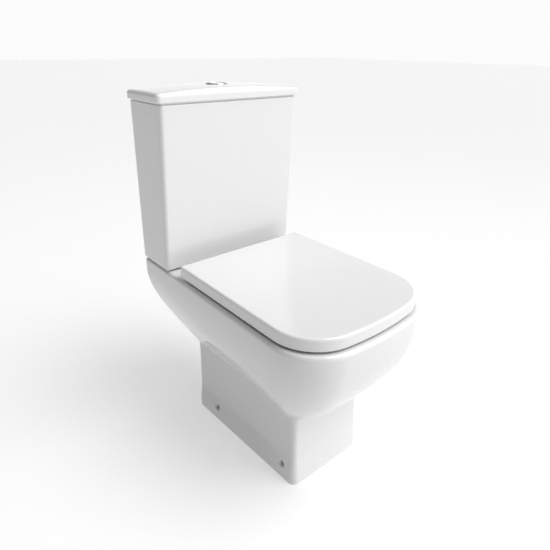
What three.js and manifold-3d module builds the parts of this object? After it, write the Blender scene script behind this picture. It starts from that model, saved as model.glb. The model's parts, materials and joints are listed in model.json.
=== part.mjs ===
// A close coupled toilet in millimetres, +Z up, built as an assembly of separate pieces.
// Every size below is given from the wall and the floor: x = 0 is the middle, y = 0 the wall plane,
// -y the front, z = 0 the floor. The group at the end moves the whole to its own centre.

import * as THREE from 'three';
import { mergeVertices } from 'three/addons/utils/BufferGeometryUtils.js';
import Module from 'manifold-3d';

const wasm = await Module();
wasm.setup();

// ---------------------------------------------------------------- driving sizes

const DEPTH = 600;
const GAP = 0.3;

const RIM_Z = 400;
const CREASE_Z = 190;
const BELLY_TOP_Z = { back: 372, front: 392 };
const BELLY_FULLNESS = { back: 1.1, front: 0.5 };
const BELLY_HEIGHTS = [193, 200, 212, 228, 248, 272, 300, 332, 364];
const CHINA = 11;
const DECK_UNDER_Z = 388;

// Plan outlines: half widths at the back and the front, back and front edges, corner radii and
// how far the middle of the front edge bows out.
const RIM_PLAN = {
  halfBack: 177, halfFront: 179, back: -1, front: -DEPTH, cornerBack: 5, cornerFront: 104, bow: 4,
};
const FOOT_PLAN = {
  halfBack: 109, halfFront: 97, back: -118, front: -467, cornerBack: 8, cornerFront: 12, bow: 0.5,
};
const FOOT_FLARE = 4;

const OPENING = { half: 118, back: -266, front: -552 };
const RIM_LIP = 6;
const RIM_LIP_Z = 356;
const BOWL_WALL = 9;
// Levels of the bowl's inner surface: height, half width, back and front.
const BOWL_LEVELS = [
  { z: 62, half: 24, back: -300, front: -352 },
  { z: 110, half: 42, back: -292, front: -382 },
  { z: 160, half: 64, back: -286, front: -420 },
  { z: 210, half: 88, back: -276, front: -464 },
  { z: 260, half: 110, back: -266, front: -508 },
  { z: 310, half: 128, back: -258, front: -542 },
  { z: 352, half: 137, back: -253, front: -559 },
  { z: DECK_UNDER_Z - GAP, half: 138, back: -252, front: -561 },
];
// The trap way is a casting of its own behind this plane, and one with the bowl in front of it.
const TRAP_JOINT_Y = -270;

const TRAP_BORE_R = 37;
const TRAP_OUTER_R = 46;
const OUTLET_Z = 185;
const OUTLET_Y = -70;

const VALVE_Y = -72;
const COUPLING_X = 75;
const FILL_X = 120;
const WELL_R = 56;
const WELL_RECESS_R = 46;
const WELL_RECESS_Z = 378;

const WELL_BORE_R = 29;
const DECK_HOLE_R = { fill: 20, coupling: 7, hinge: 8 };
const DUCT = { half: 30, floorZ: 350, roofZ: 380 };

const SIDE_HOLE_Z = 36;
const SIDE_HOLE_R = 5.5;
const SIDE_HOLE_YS = { rear: -194, front: -432 };

const CISTERN_Z = 402.5;
const CISTERN_FLOOR_Z = 412.5;
const CISTERN_TOP_Z = 774;
const CISTERN_WALL = 9;
const CISTERN_FOOT = {
  halfBack: 180, halfFront: 180, back: 0, front: -122, cornerBack: 10, cornerFront: 9, bow: 2,
};
const CISTERN_HEAD = {
  halfBack: 180.5, halfFront: 180.5, back: 0, front: -147, cornerBack: 10, cornerFront: 9, bow: 3,
};

const LID_PLAN = {
  halfBack: 187.5, halfFront: 187.5, back: 0, front: -150, cornerBack: 12, cornerFront: 10, bow: 3,
};
const LID_CROWN = 8;
const LID_SKIRT_Z = 777.5;
const LID_SIDE_Z = 789;
const LID_TOP_Z = 805.5;
const LID_EDGE_R = 8;
const LID_SHELL = 11;

const HINGE_X = 77.5;
const HINGE_Y = -174.5;
const HINGE_Z = 417.5;
const HINGE_BOSS_R = 6.3;
const HINGE_PIN_R = 2.5;
const HINGE_DISC_Z = 402.3;

const SEAT_LID_PLAN = {
  halfBack: 171, halfFront: 172, back: -161, front: -590, cornerBack: 6, cornerFront: 100, bow: 4,
};
const SEAT_LID_BASE_Z = 405;
const SEAT_LID_TOP_Z = 431;
const SEAT_LID_WALL = 4;
const SEAT_LID_CEILING_Z = 424.5;
const RING_PLAN = {
  halfBack: 165.5, halfFront: 166.5, back: -168.5, front: -584, cornerBack: 5, cornerFront: 95, bow: 4,
};
const RING_BASE_Z = 406;
const RING_TOP_Z = 419;
const RING_OPENING = { half: 106, back: -270, front: -538 };

const BUTTON_HOLE_R = 23;
const ROD_X = 12;
const ROD_DY = 7;
const LEVER_Z = 682;

// ---------------------------------------------------------------- materials

function finish(colour, roughness, metalness = 0) {
  return new THREE.MeshStandardMaterial({ color: colour, roughness, metalness });
}

const china = finish(0xf2f2f3, 0.08);
const seatPlastic = finish(0xf0f0f0, 0.22);
const whitePlastic = finish(0xe6e8ea, 0.45);
const greyPlastic = finish(0xb9bdc2, 0.5);
const chrome = finish(0xd0d3d6, 0.08, 1);
const steel = finish(0xa9adb0, 0.35, 1);
const brass = finish(0xc9a961, 0.3, 1);
const rubber = finish(0x2b2b2d, 0.85);
const foam = finish(0x3a3b3d, 0.95);
const clearRubber = finish(0xd9dadb, 0.6);

// ---------------------------------------------------------------- solid helpers

function signedVolume(position, index) {
  const a = new THREE.Vector3();
  const b = new THREE.Vector3();
  const c = new THREE.Vector3();
  let volume = 0;
  for (let i = 0; i < index.length; i += 3) {
    a.fromBufferAttribute(position, index[i]);
    b.fromBufferAttribute(position, index[i + 1]);
    c.fromBufferAttribute(position, index[i + 2]);
    volume += a.dot(b.cross(c));
  }
  return volume;
}

// A closed geometry as a solid: corners merged, collapsed triangles dropped, faces pointing out.
function solid(geometry) {
  geometry.deleteAttribute('normal');
  geometry.deleteAttribute('uv');
  const merged = mergeVertices(geometry, 1e-3);
  const source = merged.index.array;
  const triVerts = [];
  for (let i = 0; i < source.length; i += 3) {
    const [a, b, c] = [source[i], source[i + 1], source[i + 2]];
    if (a !== b && b !== c && c !== a) triVerts.push(a, b, c);
  }
  if (signedVolume(merged.attributes.position, triVerts) < 0) triVerts.reverse();
  return new wasm.Manifold(new wasm.Mesh({
    numProp: 3,
    vertProperties: new Float32Array(merged.attributes.position.array),
    triVerts: new Uint32Array(triVerts),
  }));
}

function joined(...pieces) {
  return pieces.reduce((whole, piece) => whole.add(piece));
}

function cut(body, ...tools) {
  return tools.reduce((whole, tool) => whole.subtract(tool), body);
}

function named(name, material, body) {
  const { vertProperties, triVerts } = body.getMesh();
  const geometry = new THREE.BufferGeometry();
  geometry.setAttribute('position', new THREE.BufferAttribute(new Float32Array(vertProperties), 3));
  geometry.setIndex(new THREE.BufferAttribute(new Uint32Array(triVerts), 1));
  geometry.computeVertexNormals();
  const mesh = new THREE.Mesh(geometry, material);
  mesh.name = name;
  return mesh;
}

function box(low, high) {
  const size = high.map((value, axis) => value - low[axis]);
  const geometry = new THREE.BoxGeometry(...size);
  geometry.translate(low[0] + size[0] / 2, low[1] + size[1] / 2, low[2] + size[2] / 2);
  return solid(geometry);
}

function rod(from, to, radius, sides = 16) {
  const start = new THREE.Vector3(...from);
  const end = new THREE.Vector3(...to);
  const along = end.clone().sub(start);
  const geometry = new THREE.CylinderGeometry(radius, radius, along.length(), sides);
  const upright = new THREE.Vector3(0, 1, 0);
  geometry.applyQuaternion(new THREE.Quaternion().setFromUnitVectors(upright, along.clone().normalize()));
  geometry.translate(...start.add(end).multiplyScalar(0.5));
  return solid(geometry);
}

function post(x, y, low, high, radius, sides = 16) {
  return rod([x, y, low], [x, y, high], radius, sides);
}

// A turned piece on a vertical axis. The profile is a list of [radius, z].
function turned(x, y, profile, sides = 20) {
  const points = profile.map(([radius, z]) => new THREE.Vector2(radius, z));
  const geometry = new THREE.LatheGeometry(points, sides);
  geometry.rotateX(Math.PI / 2);
  geometry.translate(x, y, 0);
  return solid(geometry);
}

function sleeve(x, y, low, high, inner, outer, sides = 20) {
  return turned(x, y, [[inner, low], [outer, low], [outer, high], [inner, high], [inner, low]], sides);
}

function tube(curve, radius, sides, steps) {
  const corners = [];
  for (let i = 0; i < sides; i++) {
    const angle = (i / sides) * Math.PI * 2;
    corners.push(new THREE.Vector2(radius * Math.cos(angle), radius * Math.sin(angle)));
  }
  const section = new THREE.Shape(corners);
  return solid(new THREE.ExtrudeGeometry(section, { extrudePath: curve, steps, bevelEnabled: false }));
}

// ---------------------------------------------------------------- outlines and lofts

const BACK_CORNER_STEPS = 2;
const FRONT_CORNER_STEPS = 6;
const FRONT_STEPS = 4;

function cornerArc(points, cx, cy, radius, startAngle, steps) {
  for (let step = 0; step <= steps; step++) {
    const angle = startAngle + (step / steps) * (Math.PI / 2);
    points.push([cx + radius * Math.cos(angle), cy + radius * Math.sin(angle)]);
  }
}

// An anticlockwise outline with four round corners and a front edge that bows outwards.
function outline(plan, inset = 0, back = plan.back - inset) {
  const halfBack = plan.halfBack - inset;
  const halfFront = plan.halfFront - inset;
  const radiusBack = Math.max(plan.cornerBack - inset, 2);
  const radiusFront = Math.max(plan.cornerFront - inset, 2);
  const front = plan.front + inset;
  const shoulder = front + plan.bow;
  const flat = halfFront - radiusFront;
  const points = [];
  cornerArc(points, halfBack - radiusBack, back - radiusBack, radiusBack, 0, BACK_CORNER_STEPS);
  cornerArc(points, radiusBack - halfBack, back - radiusBack, radiusBack, Math.PI / 2, BACK_CORNER_STEPS);
  cornerArc(points, -flat, shoulder + radiusFront, radiusFront, Math.PI, FRONT_CORNER_STEPS);
  for (let step = 1; step < FRONT_STEPS; step++) {
    const across = (2 * step) / FRONT_STEPS - 1;
    points.push([flat * across, front + plan.bow * across * across]);
  }
  cornerArc(points, flat, shoulder + radiusFront, radiusFront, 1.5 * Math.PI, FRONT_CORNER_STEPS);
  return points;
}

// A round-ended outline between a back and a front, squarer than an ellipse.
function oval(half, back, front, sides = 24) {
  const squareness = 2.35;
  const middle = (back + front) / 2;
  const reach = (back - front) / 2;
  const points = [];
  for (let step = 0; step < sides; step++) {
    const angle = (step / sides) * Math.PI * 2;
    const [c, s] = [Math.cos(angle), Math.sin(angle)];
    const size = (Math.abs(c) ** squareness + Math.abs(s) ** squareness) ** (-1 / squareness);
    points.push([half * size * c, middle + reach * size * s]);
  }
  return points;
}

function level(points, z) {
  return points.map(([x, y]) => [x, y, z]);
}

// A closed body through rings of equal length, lowest first.
function loft(rings) {
  const count = rings[0].length;
  const corners = rings.flat();
  const index = [];
  for (let ring = 0; ring + 1 < rings.length; ring++) {
    for (let i = 0; i < count; i++) {
      const a = ring * count + i;
      const b = ring * count + ((i + 1) % count);
      index.push(a, b, b + count, a, b + count, a + count);
    }
  }
  const centre = (ring) => [0, 1, 2].map((axis) => ring.reduce((sum, p) => sum + p[axis], 0) / count);
  const bottom = corners.length;
  const last = (rings.length - 1) * count;
  corners.push(centre(rings[0]), centre(rings.at(-1)));
  for (let i = 0; i < count; i++) {
    const next = (i + 1) % count;
    index.push(bottom, next, i, bottom + 1, last + i, last + next);
  }
  const geometry = new THREE.BufferGeometry();
  geometry.setAttribute('position', new THREE.Float32BufferAttribute(corners.flat(), 3));
  geometry.setIndex(index);
  return solid(geometry);
}

function prism(points, low, high) {
  return loft([level(points, low), level(points, high)]);
}

// ---------------------------------------------------------------- pan

// How far the belly has spread from the foot to the rim at a height, 0 to 1. The front is fuller
// and spreads up to a greater height than the back.
function bellySpread(z, y) {
  const forward = THREE.MathUtils.smoothstep(-y, 100, 560);
  const top = BELLY_TOP_Z.back + (BELLY_TOP_Z.front - BELLY_TOP_Z.back) * forward;
  const fullness = BELLY_FULLNESS.back + (BELLY_FULLNESS.front - BELLY_FULLNESS.back) * forward;
  const rise = Math.min((z - CREASE_Z) / (top - CREASE_Z), 1);
  return Math.sin((rise * Math.PI) / 2) ** fullness;
}

function bellyRing(foot, rim, z) {
  return foot.map(([x, y], i) => {
    const [rimX, rimY] = rim[i];
    const spread = bellySpread(z, rimY);
    return [x + (rimX - x) * spread, y + (rimY - y) * spread, z];
  });
}

function panOutside() {
  const foot = outline(FOOT_PLAN);
  const rim = outline(RIM_PLAN);
  const rings = [
    level(outline(FOOT_PLAN, -FOOT_FLARE), 0),
    level(outline(FOOT_PLAN, -FOOT_FLARE * 0.8), 34),
    level(outline(FOOT_PLAN, -FOOT_FLARE * 0.2), 58),
    level(foot, 72),
    level(foot, CREASE_Z),
    ...BELLY_HEIGHTS.map((z) => bellyRing(foot, rim, z)),
    level(rim, RIM_Z - 9),
    level(outline(RIM_PLAN, 2.5), RIM_Z - 2.5),
    level(outline(RIM_PLAN, 9), RIM_Z),
  ];
  return loft(rings);
}

// The space inside the walls, open to the floor and to the wall behind.
function panInside() {
  const behind = 20;
  const foot = outline(FOOT_PLAN, CHINA, behind);
  const rim = outline(RIM_PLAN, CHINA, behind);
  return loft([
    level(foot, -5),
    level(foot, CREASE_Z),
    ...BELLY_HEIGHTS.map((z) => bellyRing(foot, rim, z)),
    level(rim, DECK_UNDER_Z),
  ]);
}

// The bowl's inner surface grown by a wall, as a solid that stops a little over its highest level.
function bowlForm(grow, over = 0) {
  const rings = BOWL_LEVELS.map(({ z, half, back, front }) => (
    level(oval(half + grow, back + grow, front - grow), z)
  ));
  const lowest = BOWL_LEVELS[0];
  const floor = oval(lowest.half * 0.6 + grow, lowest.back - 10 + grow, lowest.front + 10 - grow);
  const top = rings.at(-1).map(([x, y, z]) => [x, y, z + over]);
  return loft([level(floor, lowest.z - 8 - grow), ...rings.slice(0, -1), top]);
}

function trapPath(reach) {
  const route = [
    [-352 - reach, 128 + reach], [-322, 92], [-284, 82], [-250, 106], [-226, 152], [-190, 192],
    [-140, 196], [-104, OUTLET_Z + 2], [OUTLET_Y - 10, OUTLET_Z], [OUTLET_Y + reach, OUTLET_Z],
  ];
  return new THREE.CatmullRomCurve3(route.map(([y, z]) => new THREE.Vector3(0, y, z)));
}

function panHoles() {
  const deckHole = (x, y, radius, sides) => post(x, y, DECK_UNDER_Z - 18, RIM_Z + 5, radius, sides);
  const holes = [deckHole(FILL_X, VALVE_Y, DECK_HOLE_R.fill, 20)];
  for (const side of [-1, 1]) {
    holes.push(deckHole(side * COUPLING_X, VALVE_Y, DECK_HOLE_R.coupling, 14));
    holes.push(deckHole(side * HINGE_X, HINGE_Y, DECK_HOLE_R.hinge, 14));
    for (const y of Object.values(SIDE_HOLE_YS)) {
      holes.push(rod([side * 70, y, SIDE_HOLE_Z], [side * 130, y, SIDE_HOLE_Z], SIDE_HOLE_R, 14));
    }
  }
  return holes;
}

function ductBore() {
  return box([-DUCT.half, OPENING.back + 4, DUCT.floorZ], [DUCT.half, VALVE_Y, DUCT.roofZ]);
}

// The outer body with the deck, the rim's lip and the flush way under the deck.
function pan() {
  const shell = cut(panOutside(), panInside());
  const wayFloor = DUCT.floorZ - 10;
  const duct = box([-DUCT.half - 10, OPENING.back, wayFloor], [DUCT.half + 10, VALVE_Y, RIM_Z - 8]);
  const well = post(0, VALVE_Y, wayFloor, RIM_Z - 6, WELL_R, 28);
  const flushWay = cut(joined(duct, well), bowlForm(BOWL_WALL + GAP), ductBore());
  const lipOutside = oval(OPENING.half + RIM_LIP, OPENING.back + RIM_LIP, OPENING.front - RIM_LIP);
  const lip = prism(lipOutside, RIM_LIP_Z, RIM_Z - 6);
  const opening = oval(OPENING.half, OPENING.back, OPENING.front);
  return cut(
    joined(shell, flushWay, lip),
    prism(opening, RIM_LIP_Z - 5, RIM_Z + 5),
    post(0, VALVE_Y, DUCT.floorZ, RIM_Z + 5, WELL_BORE_R, 24),
    post(0, VALVE_Y, WELL_RECESS_Z, RIM_Z + 5, WELL_RECESS_R, 28),
    ...panHoles(),
  );
}

function trapTube(reach, radius) {
  return tube(trapPath(reach), radius, 14, 18);
}

function bowl() {
  const inFront = box([-60, -500, 0], [60, TRAP_JOINT_Y, 300]);
  const sump = trapTube(0, TRAP_OUTER_R).intersect(inFront);
  return cut(joined(bowlForm(BOWL_WALL), sump), bowlForm(0, 5), trapTube(10, TRAP_BORE_R), ductBore());
}

function trapway() {
  const behind = box([-60, TRAP_JOINT_Y + GAP, 0], [60, 0, 300]);
  return cut(trapTube(0, TRAP_OUTER_R).intersect(behind), trapTube(10, TRAP_BORE_R));
}

// ---------------------------------------------------------------- floor fixings

function wallInside(y) {
  const along = (y - FOOT_PLAN.back) / (FOOT_PLAN.front - FOOT_PLAN.back);
  return FOOT_PLAN.halfBack + (FOOT_PLAN.halfFront - FOOT_PLAN.halfBack) * along - CHINA - 4;
}

function floorBracket(side, y) {
  const face = wallInside(y);
  const upright = box([face - 4, y - 12, 0], [face, y + 12, 58]);
  const base = box([face - 34, y - 12, 0], [face, y + 12, 4]);
  const bracket = cut(
    joined(upright, base),
    rod([face - 10, y, SIDE_HOLE_Z], [face + 5, y, SIDE_HOLE_Z], 3, 12),
    post(face - 20, y, -1, 6, 3.5, 12),
  );
  return side > 0 ? bracket : bracket.mirror([1, 0, 0]);
}

function sideScrew(side, y) {
  const inner = wallInside(y) - 12;
  const seat = wallInside(y) + GAP;
  const shank = rod([inner, y, SIDE_HOLE_Z], [seat + 4, y, SIDE_HOLE_Z], 2.6, 12);
  const head = rod([seat + 3, y, SIDE_HOLE_Z], [seat + 7, y, SIDE_HOLE_Z], 5, 14);
  const slot = box([seat + 5.5, y - 0.7, SIDE_HOLE_Z - 4], [seat + 8, y + 0.7, SIDE_HOLE_Z + 4]);
  const screw = cut(joined(shank, head), slot);
  return side > 0 ? screw : screw.mirror([1, 0, 0]);
}

// ---------------------------------------------------------------- cistern

function cisternPlan(z) {
  const rise = (z - CISTERN_Z) / (CISTERN_TOP_Z - CISTERN_Z);
  const mix = (key) => CISTERN_FOOT[key] + (CISTERN_HEAD[key] - CISTERN_FOOT[key]) * rise;
  return Object.fromEntries(Object.keys(CISTERN_FOOT).map((key) => [key, mix(key)]));
}

function cistern() {
  const outside = loft([
    level(outline(cisternPlan(CISTERN_Z), 5, 0), CISTERN_Z),
    level(outline(cisternPlan(CISTERN_Z), 1.5, 0), CISTERN_Z + 3),
    level(outline(cisternPlan(CISTERN_Z + 8), 0, 0), CISTERN_Z + 8),
    level(outline(cisternPlan(CISTERN_TOP_Z), 0, 0), CISTERN_TOP_Z - 2),
    level(outline(cisternPlan(CISTERN_TOP_Z), 2, 0), CISTERN_TOP_Z),
  ]);
  const chamber = loft([
    level(outline(cisternPlan(CISTERN_FLOOR_Z), CISTERN_WALL), CISTERN_FLOOR_Z),
    level(outline(cisternPlan(CISTERN_TOP_Z), CISTERN_WALL), CISTERN_TOP_Z + 5),
  ]);
  const floorHoles = [[0, 28.5, 24], [FILL_X, 11.5, 16], [COUPLING_X, 5.5, 14], [-COUPLING_X, 5.5, 14]];
  return cut(outside, chamber, ...floorHoles.map(([x, radius, sides]) => (
    post(x, VALVE_Y, CISTERN_Z - 5, CISTERN_FLOOR_Z + 5, radius, sides)
  )));
}

function lidCrown(x, y) {
  const middle = LID_PLAN.front / 2;
  return LID_TOP_Z - LID_CROWN * (x / LID_PLAN.halfBack) ** 2 - 1.5 * ((y - middle) / middle) ** 2;
}

function cisternLid() {
  const rings = [level(outline(LID_PLAN), LID_SKIRT_Z), level(outline(LID_PLAN), LID_SIDE_Z)];
  for (const turn of [0.4, 0.8, 1.2, Math.PI / 2]) {
    const ring = outline(LID_PLAN, LID_EDGE_R * (1 - Math.cos(turn)));
    const rise = Math.sin(turn);
    rings.push(ring.map(([x, y]) => [x, y, LID_SIDE_Z + (lidCrown(x, y) - LID_SIDE_Z) * rise]));
  }
  const middle = LID_PLAN.front / 2;
  for (const share of [0.7, 0.35]) {
    const ring = outline(LID_PLAN, LID_EDGE_R).map(([x, y]) => [x * share, middle + (y - middle) * share]);
    rings.push(ring.map(([x, y]) => [x, y, lidCrown(x, y)]));
  }
  const land = prism(outline(CISTERN_HEAD, 3, -3), CISTERN_TOP_Z + GAP, LID_SKIRT_Z + 1);
  const lip = prism(outline(CISTERN_HEAD, CISTERN_WALL + 2), CISTERN_TOP_Z - 8, LID_SKIRT_Z + 1);
  const hollow = loft([
    level(outline(CISTERN_HEAD, CISTERN_WALL + 8), CISTERN_TOP_Z - 10),
    level(outline(CISTERN_HEAD, CISTERN_WALL + 8), LID_SIDE_Z - 2),
    level(outline(CISTERN_HEAD, CISTERN_WALL + 16), LID_TOP_Z - LID_SHELL - 4),
  ]);
  const buttonHole = post(0, VALVE_Y, LID_SKIRT_Z - 20, LID_TOP_Z + 5, BUTTON_HOLE_R, 28);
  return cut(joined(loft(rings), land, lip), hollow, buttonHole);
}

function doughnutGasket() {
  const low = WELL_RECESS_Z + GAP;
  const high = CISTERN_Z - GAP;
  return turned(0, VALVE_Y, [
    [36, low], [43, low], [45, low + 3], [45, high - 5], [43, high], [38, high], [36, high - 3], [36, low],
  ]);
}

function couplingBolt(x) {
  const shank = post(x, VALVE_Y, 352, CISTERN_FLOOR_Z + 6, 4, 12);
  const head = post(x, VALVE_Y, CISTERN_FLOOR_Z + 4, CISTERN_FLOOR_Z + 10, 8.5, 6);
  return joined(shank, head);
}

function couplingWasher(x) {
  const low = CISTERN_FLOOR_Z + GAP;
  return turned(x, VALVE_Y, [[4.3, low], [13, low], [10, low + 3.3], [4.3, low + 3.3], [4.3, low]], 16);
}

// A flat seal on the cistern floor, under a valve's flange.
function floorSeal(x, inner, outer) {
  return sleeve(x, VALVE_Y, CISTERN_FLOOR_Z + GAP, CISTERN_FLOOR_Z + 3.2, inner, outer);
}

function wingNut(x, y, top, bore) {
  const hub = post(x, y, top - 11, top, bore + 4.5, 14);
  const wing = box([-19, -2, top - 9], [19, 2, top - 1]).translate([x, y, 0]);
  return cut(joined(hub, wing), post(x, y, top - 15, top + 2, bore, 12));
}

// ---------------------------------------------------------------- flush valve

const VALVE_SEAT_Z = 426;
const TOWER_TOP_Z = 600;
const HEAD_PLATE_Z = 660;
// The undersides of the yoke's two lips. The one over the half flush lever stands higher.
const YOKE_LIP_Z = { full: 686.5, half: 697 };

function flushValveBase() {
  const flange = CISTERN_FLOOR_Z + 3.5;
  return turned(0, VALVE_Y, [
    [22, 372], [26.5, 372], [26.5, flange], [37, flange], [37, flange + 4], [27, flange + 4],
    [25, VALVE_SEAT_Z], [23, VALVE_SEAT_Z], [22, flange], [22, 372],
  ]);
}

function flushValveTower() {
  const low = CISTERN_FLOOR_Z + 3.5 + 4 + GAP;
  const drum = sleeve(0, VALVE_Y, low, TOWER_TOP_Z, 31, 35);
  const windows = [0, 60, 120].map((degrees) => (
    box([-50, -9, low + 8], [50, 9, 500]).rotate([0, 0, degrees + 30]).translate([0, VALVE_Y, 0])
  ));
  const plate = box([-24, VALVE_Y - 35, HEAD_PLATE_Z], [24, VALVE_Y + 35, HEAD_PLATE_Z + 4]);
  const columns = [-1, 1].map((side) => (
    box([-8, VALVE_Y + side * 33 - 2, TOWER_TOP_Z - 20], [8, VALVE_Y + side * 33 + 2, HEAD_PLATE_Z + 2])
  ));
  const ears = [];
  for (const turn of [-1, 1]) {
    for (const offset of [-6.6, 6.6]) {
      const y = VALVE_Y + turn * ROD_DY + offset;
      const x = turn * 4;
      ears.push(box([x - 5, y - 1.6, HEAD_PLATE_Z + 2], [x + 5, y + 1.6, LEVER_Z + 5]));
    }
  }
  const pivots = [-1, 1].map((turn) => (
    rod([turn * 4, VALVE_Y - 25, LEVER_Z], [turn * 4, VALVE_Y + 25, LEVER_Z], 2.3, 12)
  ));
  return cut(joined(cut(drum, ...windows), plate, ...columns, ...ears), ...pivots);
}

// The overflow tube with the yoke that the two levers lift.
function overflowTube() {
  const stem = sleeve(0, VALVE_Y, VALVE_SEAT_Z + 3.6, 644, 14.5, 17);
  const foot = sleeve(0, VALVE_Y, VALVE_SEAT_Z + 3.6, VALVE_SEAT_Z + 6.6, 14.5, 26);
  const parts = [stem, foot, cut(
    box([-40, VALVE_Y - 14, 636], [40, VALVE_Y + 14, 640]),
    post(0, VALVE_Y, 630, 645, 15.5, 20),
  )];
  for (const side of [-1, 1]) {
    const lipZ = side > 0 ? YOKE_LIP_Z.half : YOKE_LIP_Z.full;
    const strap = box([37, -14, 636], [40, 14, lipZ + 3.5]);
    const lip = box([26, side * ROD_DY - 4, lipZ], [40, side * ROD_DY + 4, lipZ + 3.5]);
    const half = joined(strap, lip).translate([0, VALVE_Y, 0]);
    parts.push(side > 0 ? half : half.mirror([1, 0, 0]));
  }
  return joined(...parts);
}

function sealingWasher() {
  return sleeve(0, VALVE_Y, VALVE_SEAT_Z + GAP, VALVE_SEAT_Z + 3.3, 17.5, 29);
}

// A see-saw lever: the push rod bears on one end and the other end lifts the yoke.
function flushLever(turn) {
  const y = VALVE_Y + turn * ROD_DY;
  const across = (x, radius, half) => rod([x, y - half, LEVER_Z], [x, y + half, LEVER_Z], radius, 14);
  const bar = box([-30, y - 4, LEVER_Z - 2], [12, y + 4, LEVER_Z + 2]);
  const lever = joined(bar, across(12, 4, 4), across(-30, 4, 4), across(-4, 3.6, 4), across(-4, 1.9, 7.6));
  return turn < 0 ? lever : lever.mirror([1, 0, 0]);
}

// ---------------------------------------------------------------- dual flush button

const BEZEL_Z = LID_TOP_Z + GAP;
const HOUSING_Z = 770;

function buttonBezel() {
  const housing = turned(0, VALVE_Y, [
    [0, HOUSING_Z], [22, HOUSING_Z], [22, BEZEL_Z], [25, BEZEL_Z], [25, BEZEL_Z + 0.8], [24, BEZEL_Z + 1.6],
    [20.8, BEZEL_Z + 1.6], [20.2, BEZEL_Z + 1], [20.2, HOUSING_Z + 3], [0, HOUSING_Z + 3],
  ], 24);
  const rodHoles = [-1, 1].map((turn) => (
    post(-turn * ROD_X, VALVE_Y + turn * ROD_DY, HOUSING_Z - 2, HOUSING_Z + 5, 3.4, 12)
  ));
  return cut(housing, ...rodHoles);
}

function buttonLocknut() {
  const top = LID_TOP_Z - LID_SHELL - 5.2;
  return sleeve(0, VALVE_Y, top - 8, top, 22.4, 28, 24);
}

const BUTTON_UNDER_Z = 797;
const BUTTON_TOP_Z = BEZEL_Z + 1.4;

function buttonHalf(turn) {
  const disc = turned(0, VALVE_Y, [
    [0, BUTTON_UNDER_Z], [19.8, BUTTON_UNDER_Z], [19.8, BUTTON_TOP_Z - 1], [19, BUTTON_TOP_Z - 0.2],
    [12, BUTTON_TOP_Z], [0, BUTTON_TOP_Z],
  ], 24);
  const split = -4;
  const keep = turn < 0
    ? box([split + 0.3, VALVE_Y - 30, 780], [30, VALVE_Y + 30, 820])
    : box([-30, VALVE_Y - 30, 780], [split - 0.3, VALVE_Y + 30, 820]);
  return disc.intersect(keep);
}

function pushRod(turn) {
  const y = VALVE_Y + turn * ROD_DY;
  return post(-turn * ROD_X, y, LEVER_Z + 4.5, BUTTON_UNDER_Z - GAP, 2.8, 12);
}

class Helix extends THREE.Curve {
  constructor(x, y, low, high, radius, turns) {
    super();
    Object.assign(this, { x, y, low, high, radius, turns });
  }

  getPoint(share) {
    const angle = share * this.turns * Math.PI * 2;
    const z = this.low + (this.high - this.low) * share;
    return new THREE.Vector3(
      this.x + this.radius * Math.cos(angle),
      this.y + this.radius * Math.sin(angle),
      z,
    );
  }
}

function buttonSpring(turn) {
  const wire = 0.6;
  const y = VALVE_Y + turn * ROD_DY;
  const low = HOUSING_Z + 3 + wire + GAP;
  const high = BUTTON_UNDER_Z - wire - GAP;
  return tube(new Helix(-turn * ROD_X, y, low, high, 4.5, 4), wire, 4, 32);
}

// ---------------------------------------------------------------- fill valve

const FILL_HEAD_Z = 690;
const ARM_Z = 735;
const ARM_PIVOT_X = FILL_X + 12;
const LINK_X = FILL_X - 30;
const FLOAT_Z = 560;

function fillValveBody() {
  const flange = CISTERN_FLOOR_Z + 3.5;
  return turned(FILL_X, VALVE_Y, [
    [6, 348], [10.3, 348], [10.3, flange], [17, flange], [17, flange + 4], [9, flange + 6],
    [9, FILL_HEAD_Z - GAP], [6, FILL_HEAD_Z - GAP], [6, 348],
  ]);
}

function fillValveHead() {
  const drum = turned(FILL_X, VALVE_Y, [
    [0, FILL_HEAD_Z], [15, FILL_HEAD_Z], [16, FILL_HEAD_Z + 3], [16, FILL_HEAD_Z + 30],
    [13, FILL_HEAD_Z + 36], [0, FILL_HEAD_Z + 36],
  ]);
  const ears = [-1, 1].map((side) => {
    const y = VALVE_Y + side * 6.4;
    return box([ARM_PIVOT_X - 6, y - 1.6, FILL_HEAD_Z + 20], [ARM_PIVOT_X + 4, y + 1.6, ARM_Z + 5]);
  });
  const pivot = rod([ARM_PIVOT_X, VALVE_Y - 12, ARM_Z], [ARM_PIVOT_X, VALVE_Y + 12, ARM_Z], 2.3, 12);
  return cut(joined(drum, ...ears), pivot);
}

function floatCup() {
  const cup = turned(FILL_X, VALVE_Y, [
    [10, FLOAT_Z], [26, FLOAT_Z], [26, FLOAT_Z + 78], [24, FLOAT_Z + 80], [10, FLOAT_Z + 80], [10, FLOAT_Z],
  ]);
  const lug = box([LINK_X - 5, VALVE_Y - 5, FLOAT_Z + 70], [FILL_X - 22, VALVE_Y + 5, FLOAT_Z + 78]);
  return cut(joined(cup, lug), post(LINK_X, VALVE_Y, FLOAT_Z + 60, FLOAT_Z + 85, 2.1, 12));
}

function floatArm() {
  const bar = box([LINK_X - 10.5, VALVE_Y - 4, ARM_Z - 2], [ARM_PIVOT_X, VALVE_Y + 4, ARM_Z + 2]);
  const boss = rod([ARM_PIVOT_X, VALVE_Y - 4, ARM_Z], [ARM_PIVOT_X, VALVE_Y + 4, ARM_Z], 4, 14);
  const trunnion = rod([ARM_PIVOT_X, VALVE_Y - 7.6, ARM_Z], [ARM_PIVOT_X, VALVE_Y + 7.6, ARM_Z], 1.9, 12);
  const slot = box([LINK_X - 7.5, VALVE_Y - 2.3, ARM_Z - 5], [LINK_X + 5, VALVE_Y + 2.3, ARM_Z + 5]);
  return cut(joined(bar, boss, trunnion), slot);
}

// ---------------------------------------------------------------- seat

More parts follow.
